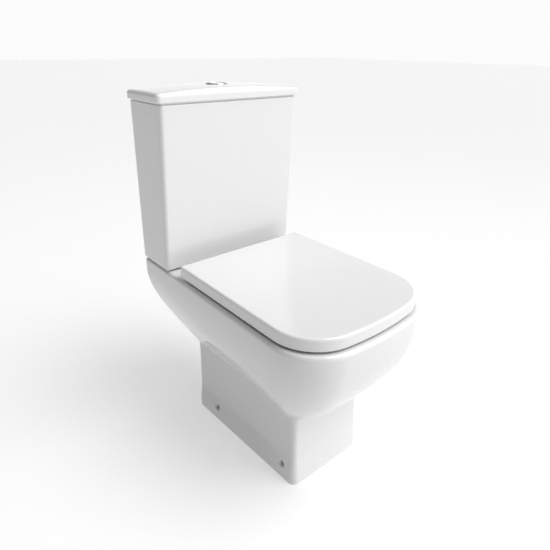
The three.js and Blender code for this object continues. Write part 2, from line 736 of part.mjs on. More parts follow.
function hingeBoss(from, to) {
  return rod([from, HINGE_Y, HINGE_Z], [to, HINGE_Y, HINGE_Z], HINGE_BOSS_R, 18);
}

function hingeBore(radius) {
  return [-1, 1].map((side) => (
    rod([side * 50, HINGE_Y, HINGE_Z], [side * 118, HINGE_Y, HINGE_Z], radius, 14)
  ));
}

const POST_HALF = 7;
const LID_EAR = [HINGE_X + POST_HALF + 0.8, HINGE_X + POST_HALF + 13.5];
const RING_SLOT = [HINGE_X - POST_HALF - 1.5, LID_EAR[1] + 0.8];

function seatRing() {
  const body = loft([
    level(outline(RING_PLAN, 2), RING_BASE_Z),
    level(outline(RING_PLAN), RING_BASE_Z + 2),
    level(outline(RING_PLAN), RING_TOP_Z - 4),
    level(outline(RING_PLAN, 1.5), RING_TOP_Z - 1.2),
    level(outline(RING_PLAN, 5), RING_TOP_Z),
  ]);
  const { half, back, front } = RING_OPENING;
  const hole = loft([
    level(oval(half + 3, back + 3, front - 3), RING_BASE_Z - 1),
    level(oval(half, back, front), RING_BASE_Z + 3),
    level(oval(half + 1, back + 1, front - 1), RING_TOP_Z - 4),
    level(oval(half + 8, back + 8, front - 8), RING_TOP_Z + 0.5),
  ]);
  const slots = [];
  const bosses = [];
  for (const side of [-1, 1]) {
    const [inner, outer] = RING_SLOT.map((x) => side * x);
    const [low, high] = [Math.min(inner, outer), Math.max(inner, outer)];
    slots.push(box([low, HINGE_Y - 9, RIM_Z], [high, HINGE_Y + 20, SEAT_LID_TOP_Z]));
    bosses.push(hingeBoss(side * (RING_SLOT[0] - 11), inner), hingeBoss(outer, side * (RING_SLOT[1] + 11)));
  }
  return cut(joined(cut(body, hole, ...slots), ...bosses), ...hingeBore(HINGE_PIN_R + GAP));
}

function seatLidShell() {
  const outside = loft([
    level(outline(SEAT_LID_PLAN, 1.2), SEAT_LID_BASE_Z),
    level(outline(SEAT_LID_PLAN), SEAT_LID_BASE_Z + 1.5),
    level(outline(SEAT_LID_PLAN), SEAT_LID_TOP_Z - 7),
    level(outline(SEAT_LID_PLAN, 1), SEAT_LID_TOP_Z - 3.8),
    level(outline(SEAT_LID_PLAN, 3.6), SEAT_LID_TOP_Z - 1.2),
    level(outline(SEAT_LID_PLAN, 9), SEAT_LID_TOP_Z - 0.3),
    level(outline(SEAT_LID_PLAN, 30), SEAT_LID_TOP_Z),
  ]);
  const inside = loft([
    level(outline(SEAT_LID_PLAN, SEAT_LID_WALL), SEAT_LID_BASE_Z - 2),
    level(outline(SEAT_LID_PLAN, SEAT_LID_WALL), SEAT_LID_CEILING_Z - 2),
    level(outline(SEAT_LID_PLAN, SEAT_LID_WALL + 2), SEAT_LID_CEILING_Z),
  ]);
  return cut(outside, inside);
}

// What the back ends of the lid's sides lose so that they clear the hinge discs as it swings up.
function swingRelief() {
  const sweep = HINGE_Z - HINGE_DISC_Z - 0.6;
  const behind = box([-200, HINGE_Y, HINGE_Z - 30], [200, HINGE_Y + 30, HINGE_Z]);
  return cut(behind, rod([-201, HINGE_Y, HINGE_Z], [201, HINGE_Y, HINGE_Z], sweep, 32));
}

// The lid has no wall at the back: under its roof it stays open for the ring and the hinges.
function openBack() {
  const inside = SEAT_LID_PLAN.halfBack - SEAT_LID_WALL - GAP;
  return box([-inside, HINGE_Y + 6, RIM_Z], [inside, HINGE_Y + 20, SEAT_LID_CEILING_Z]);
}

function seatLid() {
  const ears = [];
  for (const side of [-1, 1]) {
    const [low, high] = LID_EAR.map((x) => side * x).sort((a, b) => a - b);
    const webTop = SEAT_LID_CEILING_Z + 1;
    const web = box([low, HINGE_Y - HINGE_BOSS_R, HINGE_Z], [high, HINGE_Y + HINGE_BOSS_R, webTop]);
    ears.push(web, hingeBoss(low, high));
  }
  const shell = cut(seatLidShell(), swingRelief(), openBack());
  return cut(joined(shell, ...ears), ...hingeBore(HINGE_PIN_R + GAP));
}

// The disc on the deck, the upright round the pin and the threaded stud below, in one piece.
function hingePost(x) {
  const disc = post(x, HINGE_Y, RIM_Z + GAP, HINGE_DISC_Z, 19, 24);
  const [back, front] = [HINGE_Y + HINGE_BOSS_R, HINGE_Y - HINGE_BOSS_R];
  const upright = box([x - POST_HALF, front, RIM_Z + 1], [x + POST_HALF, back, HINGE_Z]);
  const stud = post(x, HINGE_Y, 345, RIM_Z + 1, 4, 12);
  const bore = rod([x - 20, HINGE_Y, HINGE_Z], [x + 20, HINGE_Y, HINGE_Z], HINGE_PIN_R + GAP, 14);
  return cut(joined(disc, upright, hingeBoss(x - POST_HALF, x + POST_HALF), stud), bore);
}

function hingePin(side) {
  const inner = side * (RING_SLOT[0] - 10.5);
  const outer = side * (RING_SLOT[1] + 10.5);
  return rod([inner, HINGE_Y, HINGE_Z], [outer, HINGE_Y, HINGE_Z], HINGE_PIN_R, 14);
}

function hingeWasher(x) {
  return sleeve(x, HINGE_Y, DECK_UNDER_Z - GAP - 2.5, DECK_UNDER_Z - GAP, 4.3, 13, 16);
}

function buffer(x, y, low, high, radius) {
  const profile = [[0, low], [radius - 1, low], [radius, low + 1], [radius, high], [0, high]];
  return turned(x, y, profile, 16);
}

function ringBuffer(x, y) {
  return buffer(x, y, RIM_Z + GAP, RING_BASE_Z - GAP, 8);
}

function lidBuffer(x, y) {
  return buffer(x, y, RING_TOP_Z + GAP, SEAT_LID_CEILING_Z - GAP, 6);
}

// ---------------------------------------------------------------- assembly

const toilet = new THREE.Group();
toilet.position.y = DEPTH / 2;

function place(name, material, body) {
  toilet.add(named(name, material, body));
}

place('pan', china, pan());
place('bowl', china, bowl());
place('trapway', china, trapway());
place('cistern', china, cistern());
place('cistern_lid', china, cisternLid());
place('doughnut_gasket', foam, doughnutGasket());

for (const [hand, side] of [['left', -1], ['right', 1]]) {
  for (const [end, y] of Object.entries(SIDE_HOLE_YS)) {
    place(`floor_bracket_${end}_${hand}`, greyPlastic, floorBracket(side, y));
    place(`side_screw_${end}_${hand}`, steel, sideScrew(side, y));
  }
  place(`coupling_bolt_${hand}`, brass, couplingBolt(side * COUPLING_X));
  place(`coupling_washer_${hand}`, rubber, couplingWasher(side * COUPLING_X));
  place(`coupling_wing_nut_${hand}`, brass, wingNut(side * COUPLING_X, VALVE_Y, DECK_UNDER_Z - GAP, 4.3));
  place(`hinge_post_${hand}`, chrome, hingePost(side * HINGE_X));
  place(`hinge_pin_${hand}`, steel, hingePin(side));
  place(`hinge_washer_${hand}`, rubber, hingeWasher(side * HINGE_X));
  place(`hinge_wing_nut_${hand}`, whitePlastic, wingNut(side * HINGE_X, HINGE_Y, DECK_UNDER_Z - 3.1, 4.3));
  place(`ring_buffer_front_${hand}`, clearRubber, ringBuffer(side * 118, -525));
  place(`ring_buffer_rear_${hand}`, clearRubber, ringBuffer(side * 142, -262));
  place(`lid_buffer_${hand}`, clearRubber, lidBuffer(side * 118, -530));
}

place('flush_valve_base', whitePlastic, flushValveBase());
place('flush_valve_seal', rubber, floorSeal(0, 26.9, 36));
place('flush_valve_backnut', whitePlastic, sleeve(0, VALVE_Y, 390, CISTERN_Z - GAP, 26.9, 35));
place('flush_valve_tower', whitePlastic, flushValveTower());
place('overflow_tube', greyPlastic, overflowTube());
place('sealing_washer', rubber, sealingWasher());
place('full_flush_lever', greyPlastic, flushLever(-1));
place('half_flush_lever', greyPlastic, flushLever(1));

place('button_bezel', chrome, buttonBezel());
place('button_locknut', whitePlastic, buttonLocknut());
for (const [flush, turn] of [['full', -1], ['half', 1]]) {
  place(`${flush}_flush_button`, chrome, buttonHalf(turn));
  place(`${flush}_push_rod`, whitePlastic, pushRod(turn));
  place(`${flush}_button_spring`, steel, buttonSpring(turn));
}

place('fill_valve_body', whitePlastic, fillValveBody());
place('fill_valve_washer', rubber, floorSeal(FILL_X, 10.7, 16.5));
place('fill_valve_backnut', whitePlastic, sleeve(FILL_X, VALVE_Y, 392, CISTERN_Z - GAP, 10.7, 17));
place('fill_valve_head', greyPlastic, fillValveHead());
place('float_cup', greyPlastic, floatCup());
place('float_link', steel, post(LINK_X, VALVE_Y, FLOAT_Z + 64, ARM_Z + 14, 1.7, 10));
place('float_arm', whitePlastic, floatArm());

place('seat_ring', seatPlastic, seatRing());
place('seat_lid', seatPlastic, seatLid());

export default toilet;
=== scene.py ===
"""A close coupled toilet: glazed china, a moulded seat and a dual flush cistern.

Sizes are in millimetres, as a plumber measures them: x from the middle, y from the wall, with the
front at -y, and z from the floor. They become metres on the frame's own axes when a mesh is made.
"""

import json
import math
from collections import namedtuple

import bmesh
import bpy
import numpy as np
from mathutils import Matrix, Vector


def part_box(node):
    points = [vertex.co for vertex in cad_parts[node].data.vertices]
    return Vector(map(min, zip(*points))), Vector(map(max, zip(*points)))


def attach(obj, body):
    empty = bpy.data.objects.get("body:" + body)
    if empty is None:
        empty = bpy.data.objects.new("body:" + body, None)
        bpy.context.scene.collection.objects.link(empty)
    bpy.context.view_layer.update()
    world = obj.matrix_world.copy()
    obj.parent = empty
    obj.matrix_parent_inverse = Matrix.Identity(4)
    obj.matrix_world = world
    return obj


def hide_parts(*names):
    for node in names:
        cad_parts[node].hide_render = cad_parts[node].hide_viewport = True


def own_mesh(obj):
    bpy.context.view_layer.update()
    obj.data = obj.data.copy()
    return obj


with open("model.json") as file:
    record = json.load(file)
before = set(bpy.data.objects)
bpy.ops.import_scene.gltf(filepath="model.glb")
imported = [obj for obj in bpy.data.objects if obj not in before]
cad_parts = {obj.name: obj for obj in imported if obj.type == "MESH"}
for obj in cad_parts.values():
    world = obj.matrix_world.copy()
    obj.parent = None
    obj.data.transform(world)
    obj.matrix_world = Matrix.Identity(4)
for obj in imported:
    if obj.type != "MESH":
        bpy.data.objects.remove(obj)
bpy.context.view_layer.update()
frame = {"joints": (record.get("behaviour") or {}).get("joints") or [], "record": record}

MM = 0.001
WALL_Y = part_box("cistern")[1].y / MM
RIM_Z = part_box("pan")[1].z / MM
DEPTH = WALL_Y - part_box("pan")[0].y / MM

PARTS = frame["record"]["subparts"]
SLOT = {part["node"]: part["material_slot"] for part in PARTS}
BODIES = frame["record"]["behaviour"]["bodies"]
BODY = {node: body for body, nodes in BODIES.items() for node in nodes}

# ------------------------------------------------------------------ sizes

Plan = namedtuple("Plan", "half_back half_front back front corner_back corner_front bow")

RIM_PLAN = Plan(177, 179, -1, -DEPTH, 5, 104, 4)
FOOT_PLAN = Plan(109, 97, -118, -467, 8, 12, 0.5)
FOOT_FLARE = 4
FOOT_FLARE_AT_HOLES = 2.7
CREASE_Z = 190
BELLY_TOP_Z = {"back": 372, "front": 392}
BELLY_FULLNESS = {"back": 1.1, "front": 0.5}
BELLY_CHANGE_Y = (-100, -560)
RIM_ROUND = 9
CHINA = 11
DECK_UNDER_Z = 388

Oval = namedtuple("Oval", "half back front")

OPENING = Oval(118, -266, -552)
OPENING_ROUND = {"below": 3.0, "above": 6.0}
RIM_LIP = 6
RIM_LIP_Z = 356
BOWL_WALL = 9
BOWL_LEVELS = [
    (62, Oval(24, -300, -352)),
    (110, Oval(42, -292, -382)),
    (160, Oval(64, -286, -420)),
    (210, Oval(88, -276, -464)),
    (260, Oval(110, -266, -508)),
    (310, Oval(128, -258, -542)),
    (352, Oval(137, -253, -559)),
    (388, Oval(138, -252, -561)),
]
TRAP_ROUTE = [
    (-352, 128), (-322, 92), (-284, 82), (-250, 106), (-226, 152), (-190, 192),
    (-140, 196), (-104, 187), (-80, 185), (-70, 185),
]
TRAP_BORE = 37
TRAP_OUTSIDE = 46

VALVE_Y = -72
COUPLING_X = 75
FILL_X = 120
SIDE_HOLE_Z = 36
SIDE_HOLE_YS = {"rear": -194, "front": -432}

CISTERN_Z = 402.5
CISTERN_FLOOR_Z = 412.5
CISTERN_TOP_Z = 774
CISTERN_WALL = 9
CISTERN_EDGE = 7
CISTERN_FOOT = Plan(180, 180, 0, -122, 10, 9, 2)
CISTERN_HEAD = Plan(180.5, 180.5, 0, -147, 10, 9, 3)

LID_PLAN = Plan(187.5, 187.5, 0, -150, 12, 10, 3)
LID_SKIRT_Z = 777.5
LID_SIDE_Z = 789
LID_TOP_Z = 805.5
LID_EDGE = 8
LID_CROWN = 8

HINGE_X = 77.5
HINGE_Y = -174.5
HINGE_Z = 417.5
HINGE_BOSS = 6.3
HINGE_PIN = 2.5
HINGE_DISC_Z = 402.3
POST_HALF = 7
LID_EAR = (HINGE_X + POST_HALF + 0.8, HINGE_X + POST_HALF + 13.5)
RING_SLOT = (HINGE_X - POST_HALF - 1.5, LID_EAR[1] + 0.8)

SEAT_LID_PLAN = Plan(171, 172, -161, -590, 6, 100, 4)
SEAT_LID_BASE_Z = 405
SEAT_LID_TOP_Z = 431
SEAT_LID_CEILING_Z = 424.5
SEAT_LID_WALL = 4
RING_PLAN = Plan(165.5, 166.5, -168.5, -584, 5, 95, 4)
RING_BASE_Z = 406
RING_TOP_Z = 419
RING_OPENING = Oval(106, -270, -538)

# ------------------------------------------------------------------ node trees


class Value:
    """The output of a node. Arithmetic on it adds Math nodes to its tree."""

    def __init__(self, tree, socket):
        self.tree, self.socket = tree, socket

    def math(self, operation, *values):
        return self.tree.node("ShaderNodeMath", {"operation": operation}, dict(enumerate(values)))

    def __add__(self, other):
        return self.math("ADD", self, other)

    def __sub__(self, other):
        return self.math("SUBTRACT", self, other)

    def __rsub__(self, other):
        return self.math("SUBTRACT", other, self)

    def __mul__(self, other):
        return self.math("MULTIPLY", self, other)

    __radd__ = __add__
    __rmul__ = __mul__

    def between(self, low, high):
        """0 at low, 1 at high, with a smooth rise."""
        settings = {"interpolation_type": "SMOOTHSTEP"}
        return self.tree.node("ShaderNodeMapRange", settings, {"Value": self, 1: low, 2: high})


class Tree:
    """Adds nodes to a node tree, one call for each node."""

    def __init__(self, tree):
        self.tree = tree

    def node(self, kind, settings=None, inputs=None, out=0):
        made = self.tree.nodes.new(kind)
        for key, value in (settings or {}).items():
            setattr(made, key, value)
        for key, value in (inputs or {}).items():
            self.feed(made.inputs[key], value)
        return Value(self, made.outputs[out]) if made.outputs else made

    def feed(self, socket, value):
        if isinstance(value, Value):
            self.tree.links.new(value.socket, socket)
        else:
            socket.default_value = value

    def mix(self, factor, a, b):
        return self.node("ShaderNodeMix", {"data_type": "RGBA"}, {0: factor, 6: a, 7: b}, out=2)

    def vector(self, operation, a, b, out=0):
        return self.node("ShaderNodeVectorMath", {"operation": operation}, {0: a, 1: b}, out)

    def noise(self, place, scale, detail=2.0, roughness=0.5):
        sizes = {"Vector": place, "Scale": scale, "Detail": detail, "Roughness": roughness}
        return self.node("ShaderNodeTexNoise", inputs=sizes)


class Finish(Tree):
    """A material: constants on the shader's own sockets, and maps on the few that vary."""

    def __init__(self, name, **constants):
        self.material = bpy.data.materials.new(name)
        self.material.use_nodes = True
        super().__init__(self.material.node_tree)
        self.shader = self.tree.nodes["Principled BSDF"]
        for key, value in constants.items():
            self.shader.inputs[key.replace("_", " ")].default_value = value
        self.place = self.node("ShaderNodeTexCoord", out="Object")

    def wear(self, colour=None, roughness=None, height=None, depth=0.0001, strength=1.0):
        if colour is not None:
            self.feed(self.shader.inputs["Base Color"], colour)
        if roughness is not None:
            self.feed(self.shader.inputs["Roughness"], roughness)
        if height is not None:
            sizes = {"Height": height, "Distance": depth, "Strength": strength}
            self.feed(self.shader.inputs["Normal"], self.node("ShaderNodeBump", inputs=sizes))
        return self.material


def grey(level, tint=(0, 0, 0)):
    return (level + tint[0], level + tint[1], level + tint[2], 1.0)


def glazed_china():
    """A thick glassy glaze: a slow drift of tint, a faint orange peel and rare pinholes."""
    finish = Finish("glazed_china", IOR=1.55, Coat_Weight=0.35, Coat_Roughness=0.02)
    drift = finish.noise(finish.place, 7.0, 3.0)
    peel = finish.noise(finish.place, 110.0, 2.0)
    swell = finish.noise(finish.place, 16.0, 1.0)
    cells = finish.node("ShaderNodeTexVoronoi", inputs={"Vector": finish.place, "Scale": 46.0})
    pinhole = 1 - cells.between(0.004, 0.016)
    cool, warm = grey(0.71, (0, 0, 0.010)), grey(0.71, (0.003, 0, 0.002))
    tint = finish.mix(drift, cool, warm)
    colour = finish.mix(pinhole * 0.25, tint, grey(0.62, (0.01, 0, -0.02)))
    height = peel * 0.35 + swell - pinhole * 0.5
    return finish.wear(colour, 0.035 + 0.05 * drift + 0.08 * pinhole, height, 0.0005, 0.16)


def raw_china():
    """Where the glaze runs thin inside and under the casting: a chalky, finely sanded body."""
    finish = Finish("raw_china", IOR=1.45)
    cloud = finish.noise(finish.place, 22.0, 5.0, 0.6)
    grain = finish.noise(finish.place, 900.0, 3.0, 0.7)
    colour = finish.mix(cloud, grey(0.68, (0.02, 0.005, -0.02)), grey(0.76, (0.01, 0, -0.01)))
    return finish.wear(colour, 0.55 + 0.2 * cloud, grain + cloud * 3, 0.0004, 0.5)


def moulded(name, colour, sheen, grain_depth, drift=0.02, **constants):
    """An injection moulded plastic: faint flow marks in the gloss and a fine grain."""
    finish = Finish(name, **constants)
    flow = finish.noise(finish.place, 14.0, 3.0)
    grain = finish.noise(finish.place, 1400.0, 2.0)
    pale = tuple(min(c + drift, 1) for c in colour[:3]) + (1.0,)
    swell = finish.noise(finish.place, 20.0, 1.0)
    height = grain * grain_depth + swell
    return finish.wear(finish.mix(flow, colour, pale), sheen + 0.06 * flow, height, 0.0004, 0.12)


def brushed(name, colour, rough, along=(1, 1, 30), **constants):
    """A bare or plated metal: drawn lines along one axis and a little handling haze."""
    finish = Finish(name, Metallic=1.0, **constants)
    stretched = finish.vector("MULTIPLY", finish.place, along)
    lines = finish.noise(stretched, 260.0, 4.0, 0.65)
    haze = finish.noise(finish.place, 30.0, 4.0)
    dull = tuple(c * 0.88 for c in colour[:3]) + (1.0,)
    worn = finish.mix(haze * 0.6, colour, dull)
    return finish.wear(worn, rough + 0.12 * haze * lines, lines, 0.0001, 0.12)


def rubbery(name, colour, bloom, rough, **constants):
    """Rubber or foam: a pale bloom in patches over a pitted surface."""
    finish = Finish(name, **constants)
    patch = finish.noise(finish.place, 40.0, 4.0)
    pits = finish.noise(finish.place, 700.0, 3.0, 0.7)
    return finish.wear(finish.mix(patch, colour, bloom), rough + 0.1 * patch, pits, 0.0003, 0.5)


FINISHES = {
    "glazed_china": glazed_china(),
    "raw_china": raw_china(),
    "seat_plastic": moulded(
        "seat_plastic", grey(0.73, (0, 0, 0.004)), 0.14, 0.05, 0.01, IOR=1.5, Coat_Weight=0.2),
    "white_plastic": moulded("white_plastic", grey(0.70, (0, 0.005, 0.01)), 0.34, 0.5),
    "grey_plastic": moulded("grey_plastic", grey(0.40, (-0.01, 0.005, 0.03)), 0.38, 0.5),
    "chrome_plate": brushed("chrome_plate", grey(0.78, (0, 0.005, 0.01)), 0.05, (1, 1, 1)),
    "steel": brushed("steel", grey(0.52), 0.26),
    "brass_fixing": brushed("brass_fixing", (0.66, 0.45, 0.17, 1), 0.26),
    "black_rubber": rubbery("black_rubber", grey(0.012), grey(0.035), 0.6),
    "foam_rubber": rubbery("foam_rubber", grey(0.03), grey(0.07), 0.85),
    "clear_rubber": rubbery(
        "clear_rubber", grey(0.58), grey(0.66), 0.35, Subsurface_Weight=0.2),
}

# ------------------------------------------------------------------ meshes from outlines

BACK_STEPS, SIDE_STEPS, FRONT_STEPS = 10, 22, 16
BACK_CORNER_STEPS, FRONT_CORNER_STEPS = 8, 24


def arc(centre, radius, start, end, steps):
    turn = np.linspace(start, end, steps + 1)
    return np.column_stack([centre[0] + radius * np.cos(turn), centre[1] + radius * np.sin(turn)])


def straight(start, end, steps):
    """Points along a line, without its two ends."""
    return np.linspace(start, end, steps + 1)[1:-1]


def outline(plan, inset=0.0, back=None):
    """An anticlockwise outline: round corners, and a front edge that is one arc tangent to them."""
    half_back, half_front = plan.half_back - inset, plan.half_front - inset
    back = plan.back - inset if back is None else back
    r_back, r_front = max(plan.corner_back - inset, 1.0), max(plan.corner_front - inset, 1.0)
    front = plan.front + inset
    flat = half_front - r_front
    bow = flat * flat / (2 * plan.bow)
    lean = math.asin(flat / (bow - r_front))
    corner_y = front + bow - math.sqrt((bow - r_front) ** 2 - flat * flat)
    down, quarter = math.pi * 1.5, math.pi / 2
    rear_right = arc((half_back - r_back, back - r_back), r_back, 0, quarter, BACK_CORNER_STEPS)
    rear_left = arc((r_back - half_back, back - r_back), r_back, quarter, math.pi, BACK_CORNER_STEPS)
    front_left = arc((-flat, corner_y), r_front, math.pi, down - lean, FRONT_CORNER_STEPS)
    front_edge = arc((0, front + bow), bow, down - lean, down + lean, FRONT_STEPS)[1:-1]
    front_right = arc((flat, corner_y), r_front, down + lean, math.pi * 2, FRONT_CORNER_STEPS)
    return np.vstack([
        rear_right, straight(rear_right[-1], rear_left[0], BACK_STEPS),
        rear_left, straight(rear_left[-1], front_left[0], SIDE_STEPS),
        front_left, front_edge,
        front_right, straight(front_right[-1], rear_right[0], SIDE_STEPS),
    ])


def oval(shape, grow=0.0, steps=96):
    """A round-ended outline, a little squarer than an ellipse."""
    squareness = 2.35
    turn = np.arange(steps) / steps * math.tau
    c, s = np.cos(turn), np.sin(turn)
    size = (np.abs(c) ** squareness + np.abs(s) ** squareness) ** (-1 / squareness)
    middle, reach = (shape.back + shape.front) / 2, (shape.back - shape.front) / 2
    return np.column_stack([(shape.half + grow) * size * c, middle + (reach + grow) * size * s])


def circle(x, y, radius, steps=64):
    turn = np.arange(steps) / steps * math.tau
    return np.column_stack([x + radius * np.cos(turn), y + radius * np.sin(turn)])


def level(points, z):
    return np.column_stack([points, np.broadcast_to(z, len(points))])


Shape = namedtuple("Shape", "points faces finish")


def loft(rings, finish=0):
    """A closed skin through rings of equal length, lowest first, with a flat face at each end."""
    count, last = len(rings[0]), (len(rings) - 1) * len(rings[0])
    faces = []
    for start in range(0, last, count):
        for i in range(count):
            j = (i + 1) % count
            faces.append((start + i, start + j, start + count + j, start + count + i))
    faces.append(tuple(range(count))[::-1])
    faces.append(tuple(range(last, last + count)))
    return Shape(np.vstack(rings), faces, [finish] * len(faces))


def moved(shape, by):
    return Shape(shape.points + np.array(by), shape.faces, shape.finish)


def mirrored(shape):
    faces = [face[::-1] for face in shape.faces]
    return Shape(shape.points * (-1, 1, 1), faces, shape.finish)


def turned(x, y, profile, steps=64):
    """A turned piece on an upright axis. Its profile joins two ends of the axis, or closes."""
    rings = [level(circle(x, y, max(radius, 0.01), steps), z) for radius, z in profile]
    if profile[0] != profile[-1]:
        return outward(loft(rings))
    total = (len(rings) - 1) * steps
    faces = []
    for start in range(0, total, steps):
        ahead = (start + steps) % total
        for i in range(steps):
            j = (i + 1) % steps
            faces.append((start + i, start + j, ahead + j, ahead + i))
    return outward(Shape(np.vstack(rings[:-1]), faces, [0] * len(faces)))


def outward(shape):
    """The same skin with its faces pointing out."""
    made = bmesh.new()
    corners = [made.verts.new(p) for p in shape.points]
    for face, finish in zip(shape.faces, shape.finish):
        made.faces.new([corners[i] for i in face]).material_index = finish
    bmesh.ops.remove_doubles(made, verts=made.verts, dist=1e-4)
    bmesh.ops.recalc_face_normals(made, faces=made.faces)
    return from_bmesh(made)


def from_bmesh(made):
    made.verts.ensure_lookup_table()
    made.verts.index_update()
    points = np.array([v.co[:] for v in made.verts])
    faces = [tuple(v.index for v in f.verts) for f in made.faces]
    finishes = [f.material_index for f in made.faces]
    made.free()
    return Shape(points, faces, finishes)


def block(low, high, rounding=0.0, steps=3):
    """A box with rounded edges."""
    size = np.array(high, float) - np.array(low, float)
    made = bmesh.new()
    bmesh.ops.create_cube(made, size=1.0, matrix=Matrix.Diagonal((*size, 1.0)))
    if rounding:
        bmesh.ops.bevel(made, geom=made.edges[:], offset=rounding, segments=steps, profile=0.5,
                        affect="EDGES")
    return moved(from_bmesh(made), (np.array(low) + np.array(high)) / 2)


def laid(shape, start, end):
    """An upright shape, drawn from z = 0, laid along the line from start to end."""
    along = Vector(end) - Vector(start)
    turn = np.array(along.to_track_quat("Z", "Y").to_matrix())
    return Shape(shape.points @ turn.T + np.array(start), shape.faces, shape.finish)


def rod(start, end, radius, rounding=0.4, steps=48):
    """A round bar with slightly rounded ends."""
    length = (Vector(end) - Vector(start)).length
    turn = np.linspace(0, math.pi / 2, 4)
    low = [(radius - rounding + rounding * math.sin(t), rounding - rounding * math.cos(t)) for t in turn]
    high = [(r, length - z) for r, z in low[::-1]]
    return laid(turned(0, 0, [(0, 0), *low, *high, (0, length)], steps), start, end)


def sleeve(x, y, low, high, inner, outer, chamfer=0.5, steps=64):
    c = chamfer
    profile = [
        (inner, low + c), (inner + c, low), (outer - c, low), (outer, low + c),
        (outer, high - c), (outer - c, high), (inner + c, high), (inner, high - c), (inner, low + c),
    ]
    return turned(x, y, profile, steps)


def tube(path, radius, steps=40):
    """A round bar along a path in the plane x = 0, as closed rings square to the path."""
    path = np.array(path, float)
    along = np.gradient(path, axis=0)
    along /= np.linalg.norm(along, axis=1)[:, None]
    turn = np.arange(steps) / steps * math.tau
    rings = []
    for (y, z), (dy, dz) in zip(path, along):
        across, up = radius * np.cos(turn), radius * np.sin(turn)
        rings.append(np.column_stack([across, y - up * dz, z + up * dy]))
    return outward(loft(rings))


def curve_through(points, per_span):
    """A Catmull-Rom curve through points, with a number of steps to each span."""
    points = np.array(points, float)
    ends = np.vstack([2 * points[0] - points[1], points, 2 * points[-1] - points[-2]])
    found = []
    for i in range(len(points) - 1):
        a, b, c, d = ends[i:i + 4]
        for t in np.arange(per_span) / per_span:
            found.append(0.5 * (2 * b + (c - a) * t + (2 * a - 5 * b + 4 * c - d) * t ** 2
                                + (3 * b - a - 3 * c + d) * t ** 3))
    return np.array(found + [points[-1]])


# ------------------------------------------------------------------ objects


def as_object(shape, name, finishes=("glazed_china",)):
    points = shape.points.copy()
    points[:, 1] += WALL_Y
    mesh = bpy.data.meshes.new(name)
    mesh.from_pydata(points * MM, [], shape.faces)
    for finish in finishes:
        mesh.materials.append(FINISHES[finish])
    mesh.polygons.foreach_set("material_index", shape.finish)
    mesh.update()
    made = bpy.data.objects.new(name, mesh)
    bpy.context.scene.collection.objects.link(made)
    return made


def settle(thing):
    """Replaces an object's mesh with what its modifiers make of it."""
    graph = bpy.context.evaluated_depsgraph_get()
    graph.update()
    mesh = bpy.data.meshes.new_from_object(thing.evaluated_get(graph), depsgraph=graph)
    thing.modifiers.clear()
    thing.data = mesh
    return thing


def cut(shape):
    return "DIFFERENCE", shape


def shared(shape):
    return "INTERSECT", shape


def carve(thing, *steps):
    """Changes an object by shapes, in order. Each is joined to it, unless it is a cut or shared one."""
    tools = []
    for step in steps:
        operation, shape = step if isinstance(step[0], str) else ("UNION", step)
        tool = as_object(shape, "tool", ("glazed_china", "raw_china"))
        change = thing.modifiers.new("carve", "BOOLEAN")
        change.operation, change.object, change.solver = operation, tool, "MANIFOLD"
        tools.append(tool)
    settle(thing)
    for tool in tools:
        bpy.data.objects.remove(tool)
    return thing


def smooth(thing, sharp_over=32):
    """Smooth shading that stays crisp over an angle, with large flat faces kept flat."""
    mesh = thing.data
    mesh.polygons.foreach_set("use_smooth", [True] * len(mesh.polygons))
    mesh.set_sharp_from_angle(angle=math.radians(sharp_over))
    weigh = thing.modifiers.new("weigh", "WEIGHTED_NORMAL")
    weigh.keep_sharp, weigh.weight = True, 60
    return settle(thing)


def placed(thing, *nodes):
    """Sets a piece on its body in place of the CAD nodes it stands for."""
    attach(thing, BODY[nodes[0]])
    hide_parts(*nodes)
    return thing


def fitting(node, *steps):
    """A small piece from one shape, and others joined to it or cut from it."""
    thing = as_object(steps[0], f"fine_{node}", (SLOT[node],))
    if steps[1:]:
        carve(thing, *steps[1:])
    return placed(smooth(thing), node)


# ------------------------------------------------------------------ pan


def rounded(low, high, radius, steps=8):
    """Insets and heights of an edge that turns from upright at low to flat at high."""
    turn = np.linspace(0, math.pi / 2, steps + 1)
    return [(radius * (1 - math.cos(t)), low + (high - low) * math.sin(t)) for t in turn]


def stacked(plan, profile, back=None):
    """Rings of one plan, one for each inset and height."""
    return [level(outline(plan, inset, back), z) for inset, z in profile]


def ovals(shape, profile):
    """A closed skin through ovals, one for each growth and height."""
    return loft([level(oval(shape, grow), z) for grow, z in profile])


def spread_of_belly(z, rim_y):
    """How far the belly has spread from the foot to the rim at a height. The front is fuller."""
    near, far = BELLY_CHANGE_Y
    ahead = np.clip((near - rim_y) / (near - far), 0, 1)
    ahead = ahead * ahead * (3 - 2 * ahead)
    top = BELLY_TOP_Z["back"] + (BELLY_TOP_Z["front"] - BELLY_TOP_Z["back"]) * ahead
    full = BELLY_FULLNESS["back"] + (BELLY_FULLNESS["front"] - BELLY_FULLNESS["back"]) * ahead
    rise = np.clip((z - CREASE_Z) / (top - CREASE_Z), 0, 1)
    return np.sin(rise * math.pi / 2) ** full


def belly(foot, rim, z):
    spread = spread_of_belly(z, rim[:, 1])[:, None]
    return level(foot + (rim - foot) * spread, z)


def belly_heights(steps):
    """Heights from the crease up, closer together where the underside is nearly flat."""
    share = np.linspace(0.06, 1, steps)
    return CREASE_Z + (RIM_Z - RIM_ROUND - CREASE_Z) * share ** 1.9


def foot_flare(z):
    rise = min(max((z - 18) / 54, 0), 1)
    return FOOT_FLARE * (1 - rise * rise * (3 - 2 * rise))


